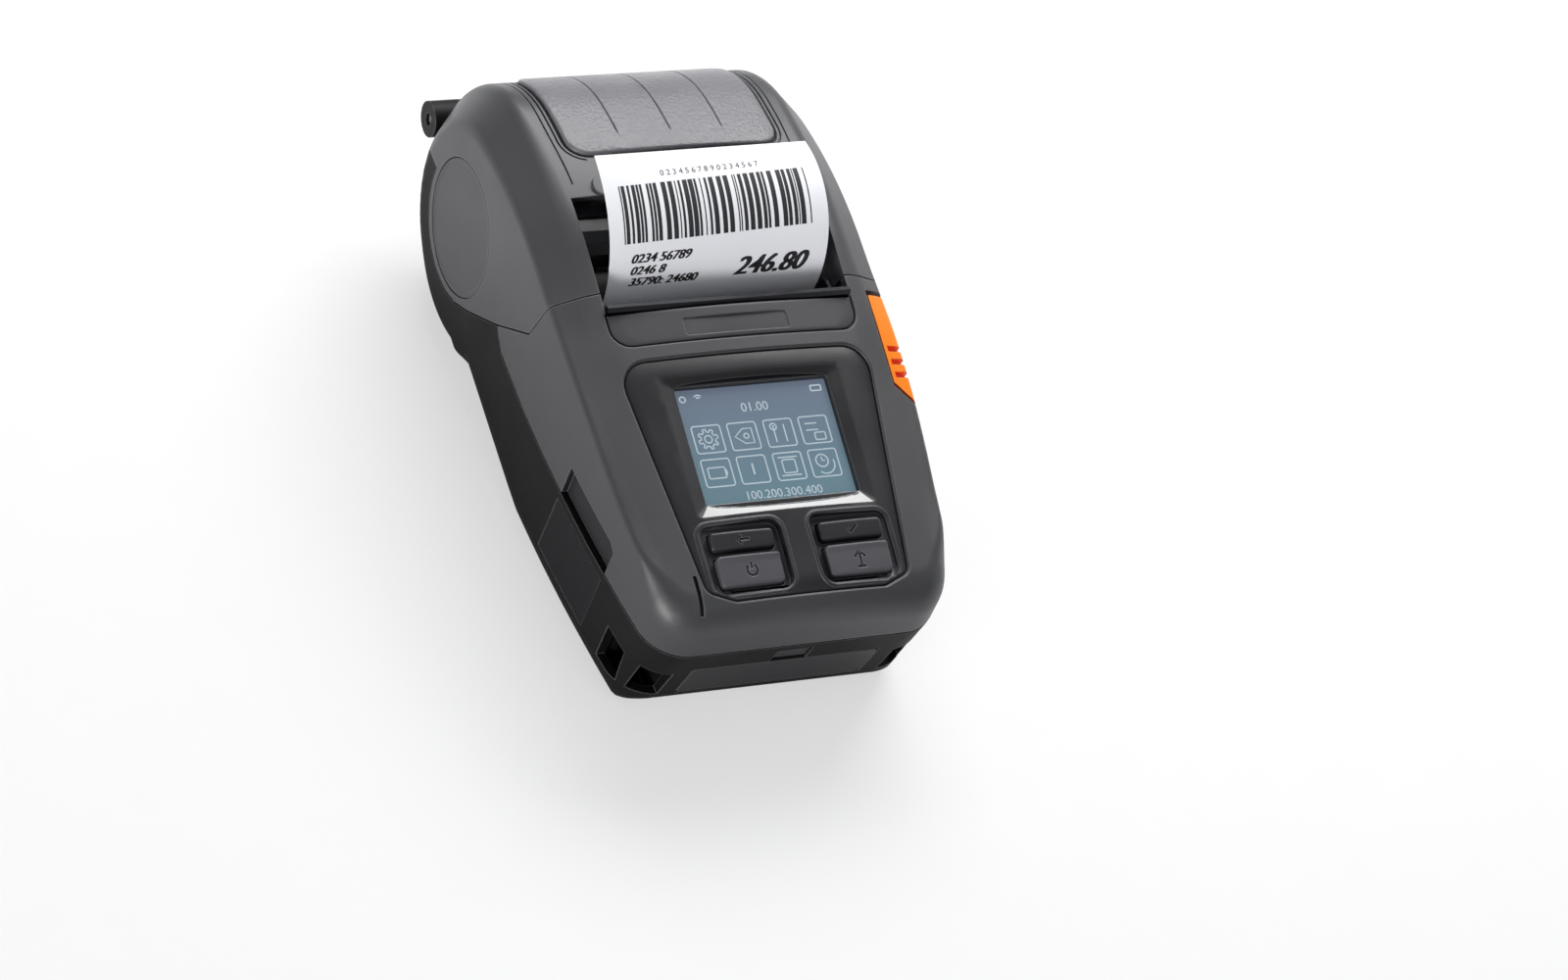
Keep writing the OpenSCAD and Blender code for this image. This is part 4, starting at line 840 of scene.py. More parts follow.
# The bezel's slope, from the glass's seat up to a small rolled edge on the panel's top
trim(panel, "DIFFERENCE", deck_solid([
    level(glass_outline(0, 0, 0, 0.3), -6), level(glass_outline(0, 0, 0, 0.3), -2.4),
    level(glass_outline(0.2, 0.2, 0.3, 0.5), -2.1), over_panel(glass_outline(3.0, 2.2, 3.1, 1.2), -0.06),
    over_panel(glass_outline(3.3, 2.5, 3.4, 1.4), 0.02), over_panel(glass_outline(3.8, 3.0, 3.9, 1.6), 0.6),
    level(glass_outline(6.0, 5.2, 6.0, 2.0), 4.0)]))
bead_profile = ((1.3, -0.4), (1.3, 0.02), (1.2, 0.2), (1.0, 0.3), (0.75, 0.3), (0.5, 0.16), (0.3, -0.3))
well_profile = ((-0.2, -2.5), (0.0, -2.3), (0.15, -1.3), (0.4, -0.8), (0.45, 4))
for x in (-key_x, key_x):
    well = [[x - 9.6, -34.6, 2.2], [x - 9.4, -50.6, 2.6], [x + 9.4, -50.6, 2.6], [x + 9.6, -34.6, 2.2]]
    bead = deck_solid([over_panel(rounded(well, g), h) for g, h in bead_profile])
    trim(bead, "INTERSECT", deck_solid([level(rounded(panel_edge, -0.55), z) for z in (-4, 4)]))
    trim(panel, "UNION", bead)
    trim(panel, "DIFFERENCE", deck_solid([level(rounded(well, g), z) for g, z in well_profile]))
    for y, l in key_rows:
        hole = rounded(box_corners(x - hole_half, x + hole_half, y - l / 2 - key_gap, y + l / 2 + key_gap, 1))
        trim(panel, "DIFFERENCE", deck_solid([level(hole, z) for z in (-6, 2)]))
soften(panel, angle=28)
# Satin ABS, nearly black: a shallow grain that still shows soft reflections
dress(panel, moulded("abs_satin_panel", "#1c1c1f", 0.25, 0.015, 0.36), "base", "panel", "screen_panel")
# The bezel's slope towards the roll end is polished, so it mirrors the light as a bright line
panel.data.materials.append(moulded("abs_polished_bezel", "#2e2e31", 0.3, 0.002, 0.13, shine=1.0))
# Its other slopes are left matt and painted near black as shade, so they stay dark round the glass
panel.data.materials.append(moulded("abs_bezel_sides_painted_shade", "#0e0e10", 0.3, 0.01, 0.5, edge_highlight=0.1))
middle, normal = face_facts(panel)
along, up = deck_place(middle[:, 1], middle[:, 2])
lean, to_rear = normal[:, 1:] @ deck_out, normal[:, 1:] @ deck_along > 0.2
round_glass = (np.abs(middle[:, 0]) < 23) & (along > -33.2) & (along < 2.3) & (up > -2.5)
slope = round_glass & (lean < 0.985) & (lean > 0.3)
# Slopes facing the roll end take the polished material; the others take the near-black painted shade
panel.data.polygons.foreach_set("material_index", np.where(slope, np.where(to_rear, 1, 2), 0))

# Screen and display
# The glass is a clear pane glued under the bezel over a lit panel: an even, cool grey-blue that turns
# greener low down. Status marks, a plain number, eight generic tiles and a number line are lit on it.
display_up, lit_up = -3.5, -3.44
display_edge = np.array([[-19.9, -30], [19.9, -30], [19.9, 0.1], [-19.9, 0.1]])
pane_outline = rounded(box_corners(-20.5, 20.5, -30.6, 0.7, 0.8))


def ribbon(line, wide, closed=False):
    """Both edges of a stroke of constant width along a polyline, mitred at its corners."""
    q = np.asarray(line, float)
    if closed:
        d = np.roll(q, -1, 0) - np.roll(q, 1, 0)
    else:
        d = np.gradient(q, axis=0)
    d /= np.maximum(np.linalg.norm(d, axis=1), 1e-9)[:, None]
    n = np.column_stack([-d[:, 1], d[:, 0]]) * wide / 2
    return q - n, q + n


def strokes(name, lines, wide, low, high, place):
    """Thin solid strokes: each section is a small rectangle from low to high, laid by place(x, y, h)."""
    points, quads, ends, at = [], [], [], 0
    for line in lines:
        closed = len(line) > 2 and np.allclose(line[0], line[-1])
        q = np.asarray(line[:-1] if closed else line, float)
        a, b = ribbon(q, wide, closed)
        ring = [level(a, low), level(b, low), level(b, high), level(a, high)]
        points.append(np.stack(ring, 1).reshape(-1, 3))
        n = len(q)
        i, j = np.meshgrid(np.arange(n if closed else n - 1), np.arange(4), indexing="ij")
        i2, j2 = (i + 1) % n, (j + 1) % 4
        sides = np.stack([i * 4 + j, i * 4 + j2, i2 * 4 + j2, i2 * 4 + j], -1)
        quads.append(at + sides.reshape(-1, 4))
        if not closed:
            ends.append(at + np.array([[3, 2, 1, 0], [4 * n - 4, 4 * n - 3, 4 * n - 2, 4 * n - 1]]))
        at += 4 * n
    p = np.vstack(points)
    return put(name, place(p[:, 0], p[:, 1], p[:, 2]), [np.vstack(quads + ends)])


def numerals(name, text, size, x, y, low, high, place, lean=0.0, weight=0.0, align="CENTER"):
    """Plain numerals as thin solids: font outlines cut into short steps, then laid by place(x, y, h)."""
    curve = bpy.data.curves.new(name, "FONT")
    curve.body, curve.size, curve.align_x, curve.align_y = text, size, align, "CENTER"
    curve.shear, curve.offset, curve.extrude = lean, weight, 0.5
    curve.resolution_u = 3
    o = bpy.data.objects.new(name, curve)
    scene.collection.objects.link(o)
    graph = bpy.context.evaluated_depsgraph_get()
    mesh = bpy.data.meshes.new_from_object(o.evaluated_get(graph))
    bpy.data.objects.remove(o)
    co = np.empty(len(mesh.vertices) * 3)
    mesh.vertices.foreach_get("co", co)
    co = co.reshape(-1, 3)
    at = place(co[:, 0] + x, co[:, 1] + y, low + (co[:, 2] + 0.5) * (high - low))
    mesh.vertices.foreach_set("co", ((at + [0, roll_to_frame, 0]) / 1000).ravel())
    mesh.update()
    o = bpy.data.objects.new(name, mesh)
    scene.collection.objects.link(o)
    return o


def on_plane(x, y, h):
    """Points on the flat deck plane, h square to it."""
    q = on_side(np.column_stack([np.ravel(y), np.ravel(h)]))
    return np.column_stack([np.ravel(x), q])


def arc_line(x, y, r, a0=0, a1=360, n=28):
    """An arc from a0 to a1 degrees, both ends drawn: centre plus r times cosine and sine."""
    a = np.radians(np.linspace(a0, a1, n))
    return np.column_stack([x + r * np.cos(a), y + r * np.sin(a)])


def box_line(x, y, w, h, r=0.6):
    """A closed box with round corners about (x, y)."""
    q = rounded(box_corners(x - w / 2, x + w / 2, y - h / 2, y + h / 2, r), steps=4, between=1)
    return np.vstack([q, q[:1]])


# Liquid crystal under light: it glows evenly and hides its cells, with a slow drift from edge to edge
lit, t, out, where = blank("liquid_crystal_lit")
parts = add(t, "ShaderNodeSeparateXYZ", {}, {0: where})
shade = add(t, "ShaderNodeMapRange", {1: -0.050, 2: -0.022}, {0: parts.outputs["Y"]})
fine = add(t, "ShaderNodeTexNoise", {"Scale": per_mm(0.06), "Detail": 2.0}, {"Vector": where})
both = add(t, "ShaderNodeMath", {1: 0.12}, {0: fine.outputs["Fac"], 2: shade.outputs[0]},
           operation="MULTIPLY_ADD")
ramp = add(t, "ShaderNodeMix", {6: linear("#76929e"), 7: linear("#7f8699")}, {0: both.outputs[0]},
           data_type="RGBA")
glow = add(t, "ShaderNodeEmission", {"Strength": 0.95}, {"Color": ramp.outputs[2]})
base = add(t, "ShaderNodeBsdfPrincipled", {"Roughness": 0.5}, {"Base Color": ramp.outputs[2]})
half = add(t, "ShaderNodeMixShader", {0: 0.6}, {1: base.outputs[0], 2: glow.outputs[0]})
t.links.new(half.outputs[0], out.inputs["Surface"])
dress(named(deck_solid([level(display_edge, z) for z in (-3.85, display_up)]), "display_face"),
      lit, "base", "display")

# Cells switched clear: they let the light through, so the marks are the brightest thing on the glass
ink, t, out, where = blank("liquid_crystal_bright")
glow = add(t, "ShaderNodeEmission", {"Strength": 1.0}, {"Color": mottle(t, where, 0.2, "#b9c6cf", "#d3dde3")})
t.links.new(glow.outputs[0], out.inputs["Surface"])
tile_x, tile_y = (-13.4, -4.6, 4.4, 13.2), (-13.0, -21.2)
(ax, bx, cx, dx), (top_y, low_y) = tile_x, tile_y
wheel = np.radians(np.linspace(0, 360, 65))
wheel_r = 2.1 + 0.35 * np.sign(np.sin(8 * wheel))
art = [box_line(x, y, 7.0, 6.6) for x in tile_x for y in tile_y]
# Upper row: toothed wheel, label, two posts, list with a card
art += [np.column_stack([ax + wheel_r * np.cos(wheel), top_y + wheel_r * np.sin(wheel)]),
        arc_line(ax, top_y, 0.9),
        [[bx - 2.2, top_y], [bx, -11.2], [bx + 2.2, -11.2], [bx + 2.2, -14.8], [bx, -14.8],
         [bx - 2.2, top_y]],
        arc_line(bx + 0.6, top_y, 0.6),
        [[cx - 1.3, -15.2], [cx - 1.3, -11.0]], [[cx + 1.3, -15.2], [cx + 1.3, -11.0]],
        arc_line(cx - 1.3, -11.4, 0.8, n=16),
        [[dx - 2.2, -11.4], [dx + 0.8, -11.4]], [[dx - 2.2, top_y], [dx + 0.8, top_y]],
        box_line(dx + 0.9, -14.6, 2.6, 1.8, 0.3)]
# Lower row: cell, box between two rails, clock; the second tile holds a numeral
art += [box_line(ax - 0.2, low_y, 4.2, 2.6, 0.3), [[ax + 2.2, low_y - 0.6], [ax + 2.2, low_y + 0.6]],
        box_line(cx, low_y, 3.2, 3.2, 0.4), [[cx - 2.4, low_y + 2.2], [cx + 2.4, low_y + 2.2]],
        [[cx - 2.4, low_y - 2.2], [cx + 2.4, low_y - 2.2]],
        arc_line(dx - 0.5, low_y + 0.6, 1.5), arc_line(dx, low_y - 0.2, 2.4, 230, 380),
        [[dx - 0.5, low_y + 1.5], [dx - 0.5, low_y + 0.6], [dx + 0.2, low_y + 0.6]]]
# Status line: cell, ring and two waves
art += [box_line(16.3, -2.9, 2.6, 1.3, 0.2), arc_line(-17, -3, 0.7, n=16),
        arc_line(-13.2, -3.4, 1.2, 45, 135, 10), arc_line(-13.2, -3.4, 0.6, 45, 135, 8)]
dress(strokes("display_tiles", art, 0.3, display_up, lit_up, on_plane), ink, "base", "display")
for name, text, size, x, y in (("display_number", "01.00", 3.1, 0, -6.2),
                               ("display_address", "100.200.300.400", 2.9, 1.2, -27.4),
                               ("display_one", "1", 4.0, bx, low_y)):
    dress(numerals(name, text, size, x, y, display_up, lit_up, on_plane), ink, "base", "display")

# Float glass: clear from above and a mirror at a flat glance. Reflection is 0.012 face on and rises with
# the fifth power of the turn away from the eye, as Schlick's rule has it.
clear, t, out, where = blank("glass_clear_glued")
fine = add(t, "ShaderNodeTexNoise", {"Scale": per_mm(0.03), "Detail": 3.0}, {"Vector": where})
gloss = add(t, "ShaderNodeMapRange", {3: 0.03, 4: 0.07}, {0: fine.outputs["Fac"]})
mirror = add(t, "ShaderNodeBsdfGlossy", {"Color": (1, 1, 1, 1)}, {"Roughness": gloss.outputs[0]})
through = add(t, "ShaderNodeBsdfTransparent", {"Color": linear("#f4f7f8")})
graze = add(t, "ShaderNodeLayerWeight", {"Blend": 0.5})
fifth = add(t, "ShaderNodeMath", {1: 5.0}, {0: graze.outputs["Facing"]}, operation="POWER")
share = add(t, "ShaderNodeMath", {1: 0.988, 2: 0.012}, {0: fifth.outputs[0]}, operation="MULTIPLY_ADD")
pane_mix = add(t, "ShaderNodeMixShader", {},
               {0: share.outputs[0], 1: through.outputs[0], 2: mirror.outputs[0]})
t.links.new(pane_mix.outputs[0], out.inputs["Surface"])
pane = named(deck_solid([level(pane_outline, z) for z in (-3.2, -2.7)]), "screen_pane")
dress(pane, clear, "base", "lens", "screen_lens")
# Its glued faces meet clear adhesive, so they mirror nothing and are simply seen through
bonded, t, out, where = blank("glass_clear_bonded_face")
through = add(t, "ShaderNodeBsdfTransparent", {}, {"Color": mottle(t, where, 0.03, "#f2f6f7", "#f7f9fa")})
t.links.new(through.outputs[0], out.inputs["Surface"])
pane.data.materials.append(bonded)
normal = face_facts(pane)[1]
pane.data.polygons.foreach_set("material_index", (normal[:, 1:] @ deck_out < 0.5).astype(int))

# Keys
# Four satin key caps, pushed up by a rubber mat. The two upper caps lean to the front and are painted darker
# as shade; the two lower ones have a raised rear edge and are painted lighter as lit. Each has one generic
# mark, engraved and filled black.
rim_round, groove_deep, paint_half = 0.5, 0.2, 0.04
# Moulded ABS with a satin face: painted darker as shade for the upper pair, paler as light for the lower pair
key_dark = moulded("abs_key_satin_painted_shade", "#2b2b2e", 0.2, 0.01, 0.36)
key_painted_lit = moulded("abs_key_satin_painted_lit", "#4e4e53", 0.2, 0.01, 0.34)
# Filling paint, wiped level: dull black in the engraved lines
fill, t, out, where = blank("paint_filled_black")
skin = add(t, "ShaderNodeBsdfPrincipled", {"Roughness": 0.45},
           {"Base Color": mottle(t, where, 0.9, "#060607", "#0c0c0d")})
t.links.new(skin.outputs[0], out.inputs["Surface"])


def key_cap(name, x, row, tops, mat, body_name, slot_name, node, mark):
    """A cap whose top follows heights tops from front to rear and falls off with the square of the width,
    its rim a quarter round; the mark's lines are cut into it and their floor is laid with black."""
    y, l = row
    edge = box_corners(x - key_half, x + key_half, y - l / 2, y + l / 2, 0.9)
    along = y + l * np.array([-0.5, -0.1, 0.28, 0.42, 0.5])
    top = lambda q: np.interp(q[:, 1], along, tops) + 0.25 - 0.25 * ((q[:, 0] - x) / key_half) ** 2
    rings = [level(rounded(edge, 0.55), -4.3), level(rounded(edge, 0.55), -3.75), level(rounded(edge), -3.7)]
    for v in np.radians([0, 30, 60, 90]):
        q = rounded(edge, -rim_round * (1 - math.cos(v)))
        rings.append(np.column_stack([q, top(q) - rim_round * (1 - math.sin(v))]))
    inner = rounded(edge, -rim_round)
    for k in (0.9, 0.78, 0.64, 0.5, 0.36, 0.22, 0.1, 0.02):
        q = np.array([x, y]) + (inner - [x, y]) * k
        rings.append(np.column_stack([q, top(q)]))
    cap = named(deck_solid(rings), name)
    on_cap = lambda a, b, h: on_plane(a, b, top(np.column_stack([np.ravel(a), np.ravel(b)])) + h)
    trim(cap, "DIFFERENCE", strokes("tool", mark, 0.58, -groove_deep, 0.5, on_cap))
    soften(cap, angle=35)
    dress(cap, mat, body_name, slot_name, node)
    paint = strokes(name + "_mark", mark, 0.56, -groove_deep - paint_half, -groove_deep + paint_half, on_cap)
    dress(paint, fill, body_name, slot_name)


upper_row, lower_row = key_rows
upper_tops, lower_tops = [-1.25, -0.85, -0.6, -0.55, -0.6], [-0.85, -0.6, -0.42, -0.05, -0.15]
power_mark = [arc_line(-key_x, -46, 1.25, 125, 415), [[-key_x, -45.7], [-key_x, -44.2]]]
feed_mark = [[[key_x, -47.6], [key_x, -44.4]], [[12.0, -45.6], [key_x, -44.2], [14.8, -45.6]],
             [[12.3, -47.8], [14.5, -47.8]]]
back_mark = [[[-14.7, -38.5], [-11.9, -38.5]], [[-13.9, -37.6], [-14.9, -38.5], [-13.9, -39.4]]]
tick_mark = [[[12.4, -38.6], [13.1, -39.3], [14.8, -37.7]]]
# The upper caps take the painted shade colour, the lower caps the painted light colour
upper_cap = (upper_row, upper_tops, key_dark)
lower_cap = (lower_row, lower_tops, key_painted_lit)
key_cap("back_cap", -key_x, *upper_cap, "back_button", "key_dark", "key_back", back_mark)
key_cap("tick_cap", key_x, *upper_cap, "ok_button", "key_dark", "key_ok", tick_mark)
key_cap("power_cap", -key_x, *lower_cap, "power_button", "key_light", "key_power", power_mark)
key_cap("feed_cap", key_x, *lower_cap, "feed_button", "key_light", "key_feed", feed_mark)

# Release lever
# The orange thumb lever on the right flank, part of the body's own form, with three cut grooves for grip.
# Moulded in orange ABS, held by the latch shaft; grooves and hidden inner faces are painted deeper orange as
# shade.
lever_outline = np.vstack([[[-9.5, 3], [-8.9, -6.5], [-6.1, -8.1]], lever_tail + lever_radius * tail_way,
                           [[12, 4]]])
lever = trim(copy_of(skin_full, "release_thumb_lever"), "INTERSECT", slab(36, 50, on_side(lever_outline)))
shaft_place, shaft_bore, boss_radius = np.array([12.5, -8.0]), 2.02, 4.2
boss = arc_line(*shaft_place, boss_radius, 215, 325, 9)
trim(lever, "UNION", slab(36, 38.2, on_side(np.vstack([[[2, -7]], boss, [[18, -6]]]))),
     slab(36, 37.8, on_side([[-8.7, -6], [-7.7, -11.2], [2, -10.2], [8, -7]])))
trim(lever, "DIFFERENCE", lever_corner(0.35))
groove = np.array([[37.0, -4.2], [42.5, -6.9], [42.5, 4], [37.0, 4]])
for along in (-1.6, 1.7, 5.0):
    trim(lever, "DIFFERENCE", deck_solid([np.insert(groove, 1, along + d, axis=1) for d in (-0.7, 0.7)]))
trim(lever, "DIFFERENCE", bar(on_side([shaft_place])[0], shaft_bore, 30, 38.4))
soften(lever, body)
# Orange ABS with a satin face: the colour stays even, and only its edges take a little painted highlight
dress(lever, moulded("abs_orange_satin", "#fb8200", 0.25, 0.012, 0.42, edge_highlight=0.08, shine=0.22),
      "latch", "lever", "release_lever")
# The same plastic in the grooves and inner faces, painted duller and redder as the shade in them
lever.data.materials.append(moulded("abs_orange_painted_shade", "#f2560c", 0.25, 0.012, 0.5))
# Faces more than 0.25 mm inside the skin take the painted shade
middle = face_facts(lever)[0]
lever.data.polygons.foreach_set("material_index", (body(*middle.T) < -0.25).astype(int))

# Port flap
# A black rubber flap over the two sockets, flush with the left flank, hinged along its lower edge.
# Compression moulded; the same surface as the skin round it, so it closes without a step.
flap_outline = [[-60, -73.65], [-38.7, -73.65], [-36.5, -96.75], [-60, -96.75]]
flap = trim(copy_of(skin_full, "rubber_port_flap"), "INTERSECT", prism(flap_outline, 7.75, 23.35))
soften(flap, body)
# Moulded rubber: quite matt, with next to no shine on its edges
dress(flap, moulded("rubber_moulded_matt", "#161618", 0.5, 0.03, 0.62, edge_highlight=0.06, shine=0.2),
      "flap", "flap_rubber", "port_flap")

# Battery pack
# A flat case that slides in from the front, its front face cut to the body's own form. Two halves of black
# ABS welded at a fine seam; a bare label recess on top and five slots over the contacts at its rear.
case_edge = [[-23, -126, 0.1], [23, -126, 0.1], [23, -66, 1.6], [-23, -66, 1.6]]
case_rings = [level(rounded(case_edge, g), z) for g, z in ((-0.6, 7.2), (0, 7.8), (0, 17.6), (-0.6, 18.2))]
case = put("battery_case", np.array(case_rings), band_faces(4, len(case_rings[0])))
trim(case, "INTERSECT", copy_of(skin_full, "tool"))
weld = trim(block(-25, 25, -119, -64, 12.5, 12.8), "DIFFERENCE", prism(rounded(case_edge, -0.25), 12, 13.4))
slots = [block(x - 1.1, x + 1.1, -66.9, -65, 13.4, 16.8) for x in (-8, -4, 0, 4, 8)]
trim(case, "DIFFERENCE", weld, block(-17, 17, -111, -74, 18.0, 19), *slots)
soften(case)
# Spark-eroded ABS like the lower shell, a shade paler because it is handled less
dress(case, moulded("abs_battery_case_black", "#222224", 0.3, 0.02, 0.48), "battery", "pack", "battery_pack")

# Printed label
# Thermal paper, 53 mm wide, curling back over the cover as it leaves the slot. Own bars and plain numbers
# are laid on it as thin black ink; its shape runs between two cubic curves, one for each edge.
label_wide, paper_low, paper_top = 53, 0.02, 0.2
ink_low, ink_top = 0.19, 0.235
edge_left = np.array([[24.1, -11.9], [26.6, -2.5], [36, 7.2], [53.8, 5.7]])
edge_right = np.array([[24.1, -11.9], [25.2, 3.2], [38, 13.6], [54, 5.8]])


def bezier(p, k):
    """Cubic: (1-k)^3 p0 + 3k(1-k)^2 p1 + 3k^2(1-k) p2 + k^3 p3."""
    k = np.ravel(k)[:, None]
    return (1 - k) ** 3 * p[0] + 3 * k * (1 - k) ** 2 * p[1] + 3 * k * k * (1 - k) * p[2] + k ** 3 * p[3]


steps = np.linspace(0, 1, 200)
line = bezier((edge_left + edge_right) / 2, steps)
length = np.concatenate([[0], np.cumsum(np.linalg.norm(np.diff(line, axis=0), axis=1))])
label_long = length[-1]


def on_label(x, v, h):
    """Point at width x and v mm from the inner end, h over the paper, square to its curve."""
    k = np.interp(np.ravel(v), length, steps)
    w = (np.clip(np.ravel(x) / label_wide + 0.5, 0, 1))[:, None]
    at = bezier(edge_left, k) * (1 - w) + bezier(edge_right, k) * w
    ahead = bezier(edge_left, k + 0.004) * (1 - w) + bezier(edge_right, k + 0.004) * w
    d = ahead - at
    d /= np.linalg.norm(d, axis=1)[:, None]
    q = at + np.column_stack([-d[:, 1], d[:, 0]]) * np.ravel(h)[:, None]
    return on_plane(np.ravel(x), q[:, 0], q[:, 1])


rows, columns = 70, 41
gx, gv = np.meshgrid(np.linspace(-label_wide / 2, label_wide / 2, columns), np.linspace(0, label_long, rows))
count = gx.size
top, under = [on_label(gx, gv, np.full(count, h)) for h in (paper_top, paper_low)]
i, j = np.meshgrid(np.arange(rows - 1), np.arange(columns - 1), indexing="ij")
at = i * columns + j
quads = np.stack([at, at + 1, at + columns + 1, at + columns], -1).reshape(-1, 4)
rim = np.concatenate([np.arange(columns), np.arange(1, rows) * columns + columns - 1,
                      (rows - 1) * columns + np.arange(columns - 2, -1, -1),
                      np.arange(rows - 2, 0, -1) * columns])
after = np.roll(rim, -1)
border = np.stack([rim, rim + count, after + count, after], -1)
label = put("thermal_label", np.vstack([top, under]), [np.vstack([quads, count + quads[:, ::-1], border])])
soften(label)
# Coated paper: a smooth white clay coat, bright and nearly matt, over fibres that barely show
paper, t, out, where = blank("paper_thermal_coated")
fibre = add(t, "ShaderNodeTexNoise", {"Scale": per_mm(1.5), "Detail": 4.0}, {"Vector": where})
bump = add(t, "ShaderNodeBump", {"Strength": 0.25, "Distance": 0.00001}, {"Height": fibre.outputs["Fac"]})
skin = add(t, "ShaderNodeBsdfPrincipled", {"Roughness": 0.55},
           {"Base Color": mottle(t, where, 0.03, "#ececf2", "#f8f8fa"), "Normal": bump.outputs[0]})
t.links.new(skin.outputs[0], out.inputs["Surface"])
dress(label, paper, "base", "paper", "printed_label")

# Thermal print: the coat itself turned black by heat, dot by dot, so it is as dull as the paper
black, t, out, where = blank("thermal_print_black")
skin = add(t, "ShaderNodeBsdfPrincipled", {"Roughness": 0.6},
           {"Base Color": mottle(t, where, 4.0, "#141416", "#242428")})
t.links.new(skin.outputs[0], out.inputs["Surface"])
bar_unit, bar_count, bars_wide, bar_rows = 0.42, 70, 46.0, 14
rng = np.random.default_rng(11)
widths = rng.choice([1, 1, 2, 2, 3, 4], bar_count) * bar_unit
start = np.concatenate([[0], np.cumsum(widths)])
start = (start - start[-1] / 2) * bars_wide / start[-1]
near, far = start[0:bar_count:2], start[1:bar_count + 1:2]
across = np.stack([near, far, far, near], -1)[:, None, :]
along = np.linspace(label_long * 0.47, label_long * 0.80, bar_rows)[None, :, None]
height = np.array([ink_low, ink_low, ink_top, ink_top])
p = np.stack(np.broadcast_arrays(across, along, height), -1).reshape(-1, 3)
sides, ends = band_faces(bar_rows, 4)
each_bar = np.arange(len(near))[:, None, None] * bar_rows * 4
faces = np.vstack([(sides + each_bar).reshape(-1, 4), (ends + each_bar).reshape(-1, 4)])
dress(put("label_bars", on_label(p[:, 0], p[:, 1], p[:, 2]), [faces]), black, "base", "paper")
text_left, slanted = -21.5, (0.35, 0.012, "LEFT")
for name, text, size, x, share, lean, weight, align in (
        ("label_digits_top", "0 2 3 4 5 6 7 8 9 0 2 3 4 5 6 7", 2.0, 0, 0.855, 0.0, 0.0, "CENTER"),
        ("label_line_one", "0234 56789", 3.0, text_left, 0.375, *slanted),
        ("label_line_two", "0246 8", 3.0, text_left, 0.30, *slanted),
        ("label_line_three", "35790: 24680", 3.0, text_left, 0.225, *slanted),
        ("label_price", "246.80", 6.3, 12.6, 0.26, 0.38, 0.02, "CENTER")):
    # Three prints side by side make the heavy letters
    for shift in (0,) if lean == 0 else (-0.045 * size, 0, 0.045 * size):
        piece = numerals(name, text, size, x + shift, label_long * share, ink_low, ink_top, on_label,
                         lean, weight, align)
        dress(piece, black, "base", "paper")

# Inner and bare parts
# The solids that keep their own mesh: turned steel, sheet steel, moulded gears, rubber, boards and paper,
# each with a surface made as the real one is.
across, lengthways = (0.05, 1, 1), (1, 0.05, 1)
wound = (0.02, 1, 1)


def worked(name, code, rough=0.3, metal=1.0, cells=0.9, spread=0.1, bump_by=0.004, stretch=(1, 1, 1),
           kind="ShaderNodeTexNoise"):
    """One fine texture of so many cells to a millimetre, stretched along the way the surface was drawn,
    turned or brushed; it drives tone, gloss and a bump of bump_by millimetres."""
    mat, t, out, where = blank(name)
    scaled = add(t, "ShaderNodeMapping", {"Scale": stretch}, {"Vector": where})
    fine = add(t, kind, {"Scale": per_mm(cells)}, {"Vector": scaled.outputs[0]})
    fac = fine.outputs["Fac"] if "Fac" in fine.outputs else fine.outputs[0]
    base = linear(code)
    darker = tuple(c * (1 - spread) for c in base[:3]) + (1,)
    lighter = tuple(min(1, c * (1 + spread)) for c in base[:3]) + (1,)
    tone = add(t, "ShaderNodeMix", {6: darker, 7: lighter}, {0: fac}, data_type="RGBA")
    bump = add(t, "ShaderNodeBump", {"Strength": 0.5, "Distance": bump_by / 1000}, {"Height": fac})
    gloss = add(t, "ShaderNodeMapRange", {3: rough - 0.05, 4: rough + 0.07}, {0: fac})
    skin = add(t, "ShaderNodeBsdfPrincipled", {"Metallic": metal},
               {"Base Color": tone.outputs[2], "Roughness": gloss.outputs[0], "Normal": bump.outputs[0]})
    t.links.new(skin.outputs[0], out.inputs["Surface"])
    return mat


def finish(mat, *names):
    """Gives bare CAD nodes one material, on every slot that they have."""
    for name in names:
        slots_of = nodes[name].data.materials
        if len(slots_of) == 0:
            slots_of.append(mat)
        for n in range(len(slots_of)):
            slots_of[n] = mat


# Ground steel: rings round the bar draw each highlight into a bright line
finish(worked("steel_ground_bright", "#a9abaf", 0.22, stretch=across),
       "hinge_pin", "platen_shaft", "latch_shaft", "idler_pin")
# Zinc plated sheet: faint crystals break up its reflections
finish(worked("steel_sheet_zinc_plated", "#8e9196", 0.34, cells=0.26, spread=0.06,
              kind="ShaderNodeTexVoronoi"),
       "head_bracket", "latch_hooks")
# Blackened sheet: brushed across before its bath, so it keeps a dark sheen
finish(worked("steel_sheet_blackened", "#3a3b3e", 0.36, stretch=across),
       "print_head", "tear_bar", "lcd_module")
# Hobbed brass: warm, with fine lines across its teeth
finish(worked("brass_hobbed", "#b08a45", 0.3, stretch=across), "motor_pinion")
# Drawn steel can: fine lines round it
finish(worked("steel_drawn_can", "#96989c", 0.3, stretch=across), "feed_motor")
# Moulded acetal: ivory and waxy, so highlights on the teeth are soft
finish(worked("acetal_moulded_ivory", "#d9d2bf", 0.42, 0.0, 0.3, 0.03),
       "platen_bushes", "platen_gear", "idler_gear", "guide_pinion")
# Moulded ABS, left as it comes from the tool: dull black
finish(worked("abs_black_frame", "#18181a", 0.5, 0.0, 0.7, 0.12, 0.01), "chassis")
# Moulded acetal in grey: a little waxy where the roll slides on it
finish(worked("acetal_moulded_grey", "#4a4c50", 0.4, 0.0, 0.5, 0.06), "guide_left", "guide_right")
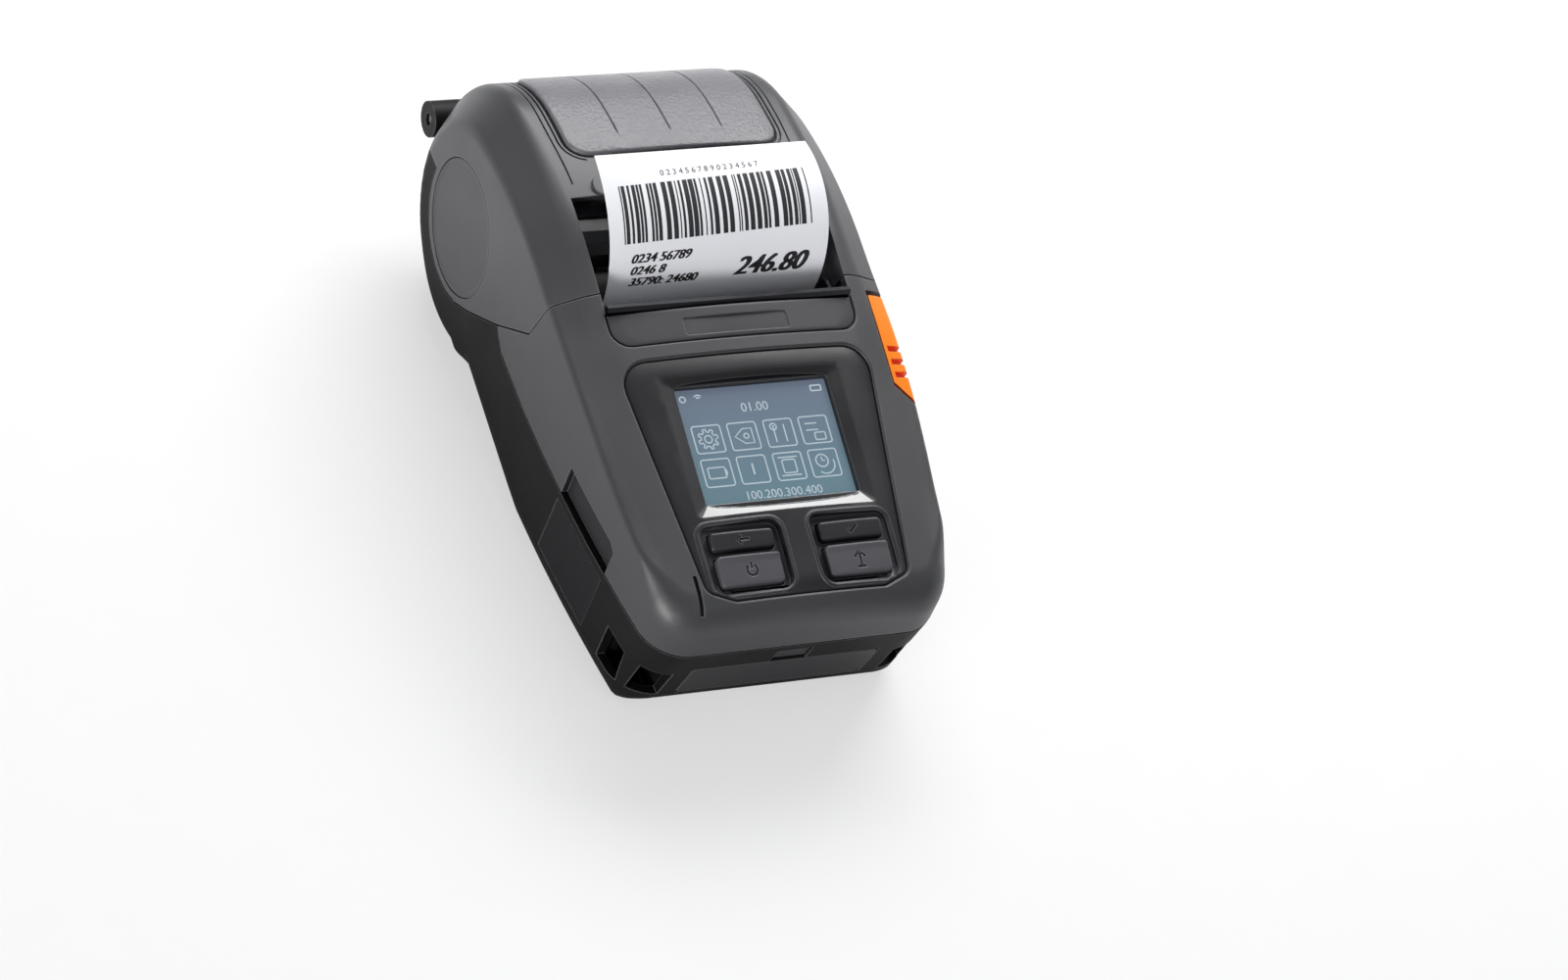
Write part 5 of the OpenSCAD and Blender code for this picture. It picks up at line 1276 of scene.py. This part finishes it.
# Moulded polycarbonate: dark grey with a smooth sheen
finish(worked("polycarbonate_cap_grey", "#2b2c2f", 0.36, 0.0, 0.6, 0.08, 0.01), "platen_bracket")
# Ground rubber: lines round the roller, with almost no highlight
finish(worked("rubber_ground_black", "#141415", 0.68, 0.0, 1.2, 0.15, 0.01, across), "platen_rubber")
# Moulded silicone: matt and slightly cloudy
finish(worked("silicone_moulded_black", "#1b1c1f", 0.6, 0.0, 0.5, 0.1, 0.01), "keypad")
# Glass cloth in green epoxy: its weave, drawn coarser than real so that it shows
finish(worked("glass_epoxy_green", "#1d5236", 0.35, 0.0, 0.42, 0.18, 0.006, kind="ShaderNodeTexBrick"),
       "main_board", "port_board")
# Pressed tinplate: bright, with the faint spangle of its coat
finish(worked("tinplate_pressed", "#b9bbbe", 0.28, cells=0.35, spread=0.05, kind="ShaderNodeTexVoronoi"),
       "radio_module", "usb_socket")
# Moulded nylon: plain dull black
finish(worked("nylon_moulded_black", "#1c1c1f", 0.5, 0.0, 0.6, 0.1), "power_jack")
# Gold plate on rolled copper: lines along each blade
finish(worked("copper_gold_plated", "#c9a24a", 0.26, stretch=lengthways), "battery_contacts")
# Wound paper: hundreds of edges side by side, drawn coarser than real so that they show
finish(worked("paper_wound_white", "#ededf0", 0.6, 0.0, 2.5, 0.04, 0.01, wound),
       "paper_roll", "paper_web")
# Wound card: brown and fibrous, with no sheen
finish(worked("card_wound_brown", "#a8875a", 0.75, 0.0, 0.8, 0.1, 0.02, across), "roll_core")
# Amber film over a wound aerial, whose turns show as fine bands
finish(worked("polyester_film_amber", "#a3742b", 0.3, 0.0, 0.16, 0.12, 0.002, kind="ShaderNodeTexWave"),
       "radio_tag")
# Zinc plated screws: pale and a little cloudy
finish(worked("steel_screw_zinc", "#9da0a4", 0.3, cells=0.5),
       "housing_screws", "bracket_screws", "head_screws")
# Spark-eroded ABS like the battery case that it holds
finish(moulded("abs_spark_eroded_pack", "#212124", 0.3, 0.02, 0.42), "battery_latch")

bpy.data.objects.remove(skin_full)
bpy.data.objects.remove(skin_wall)
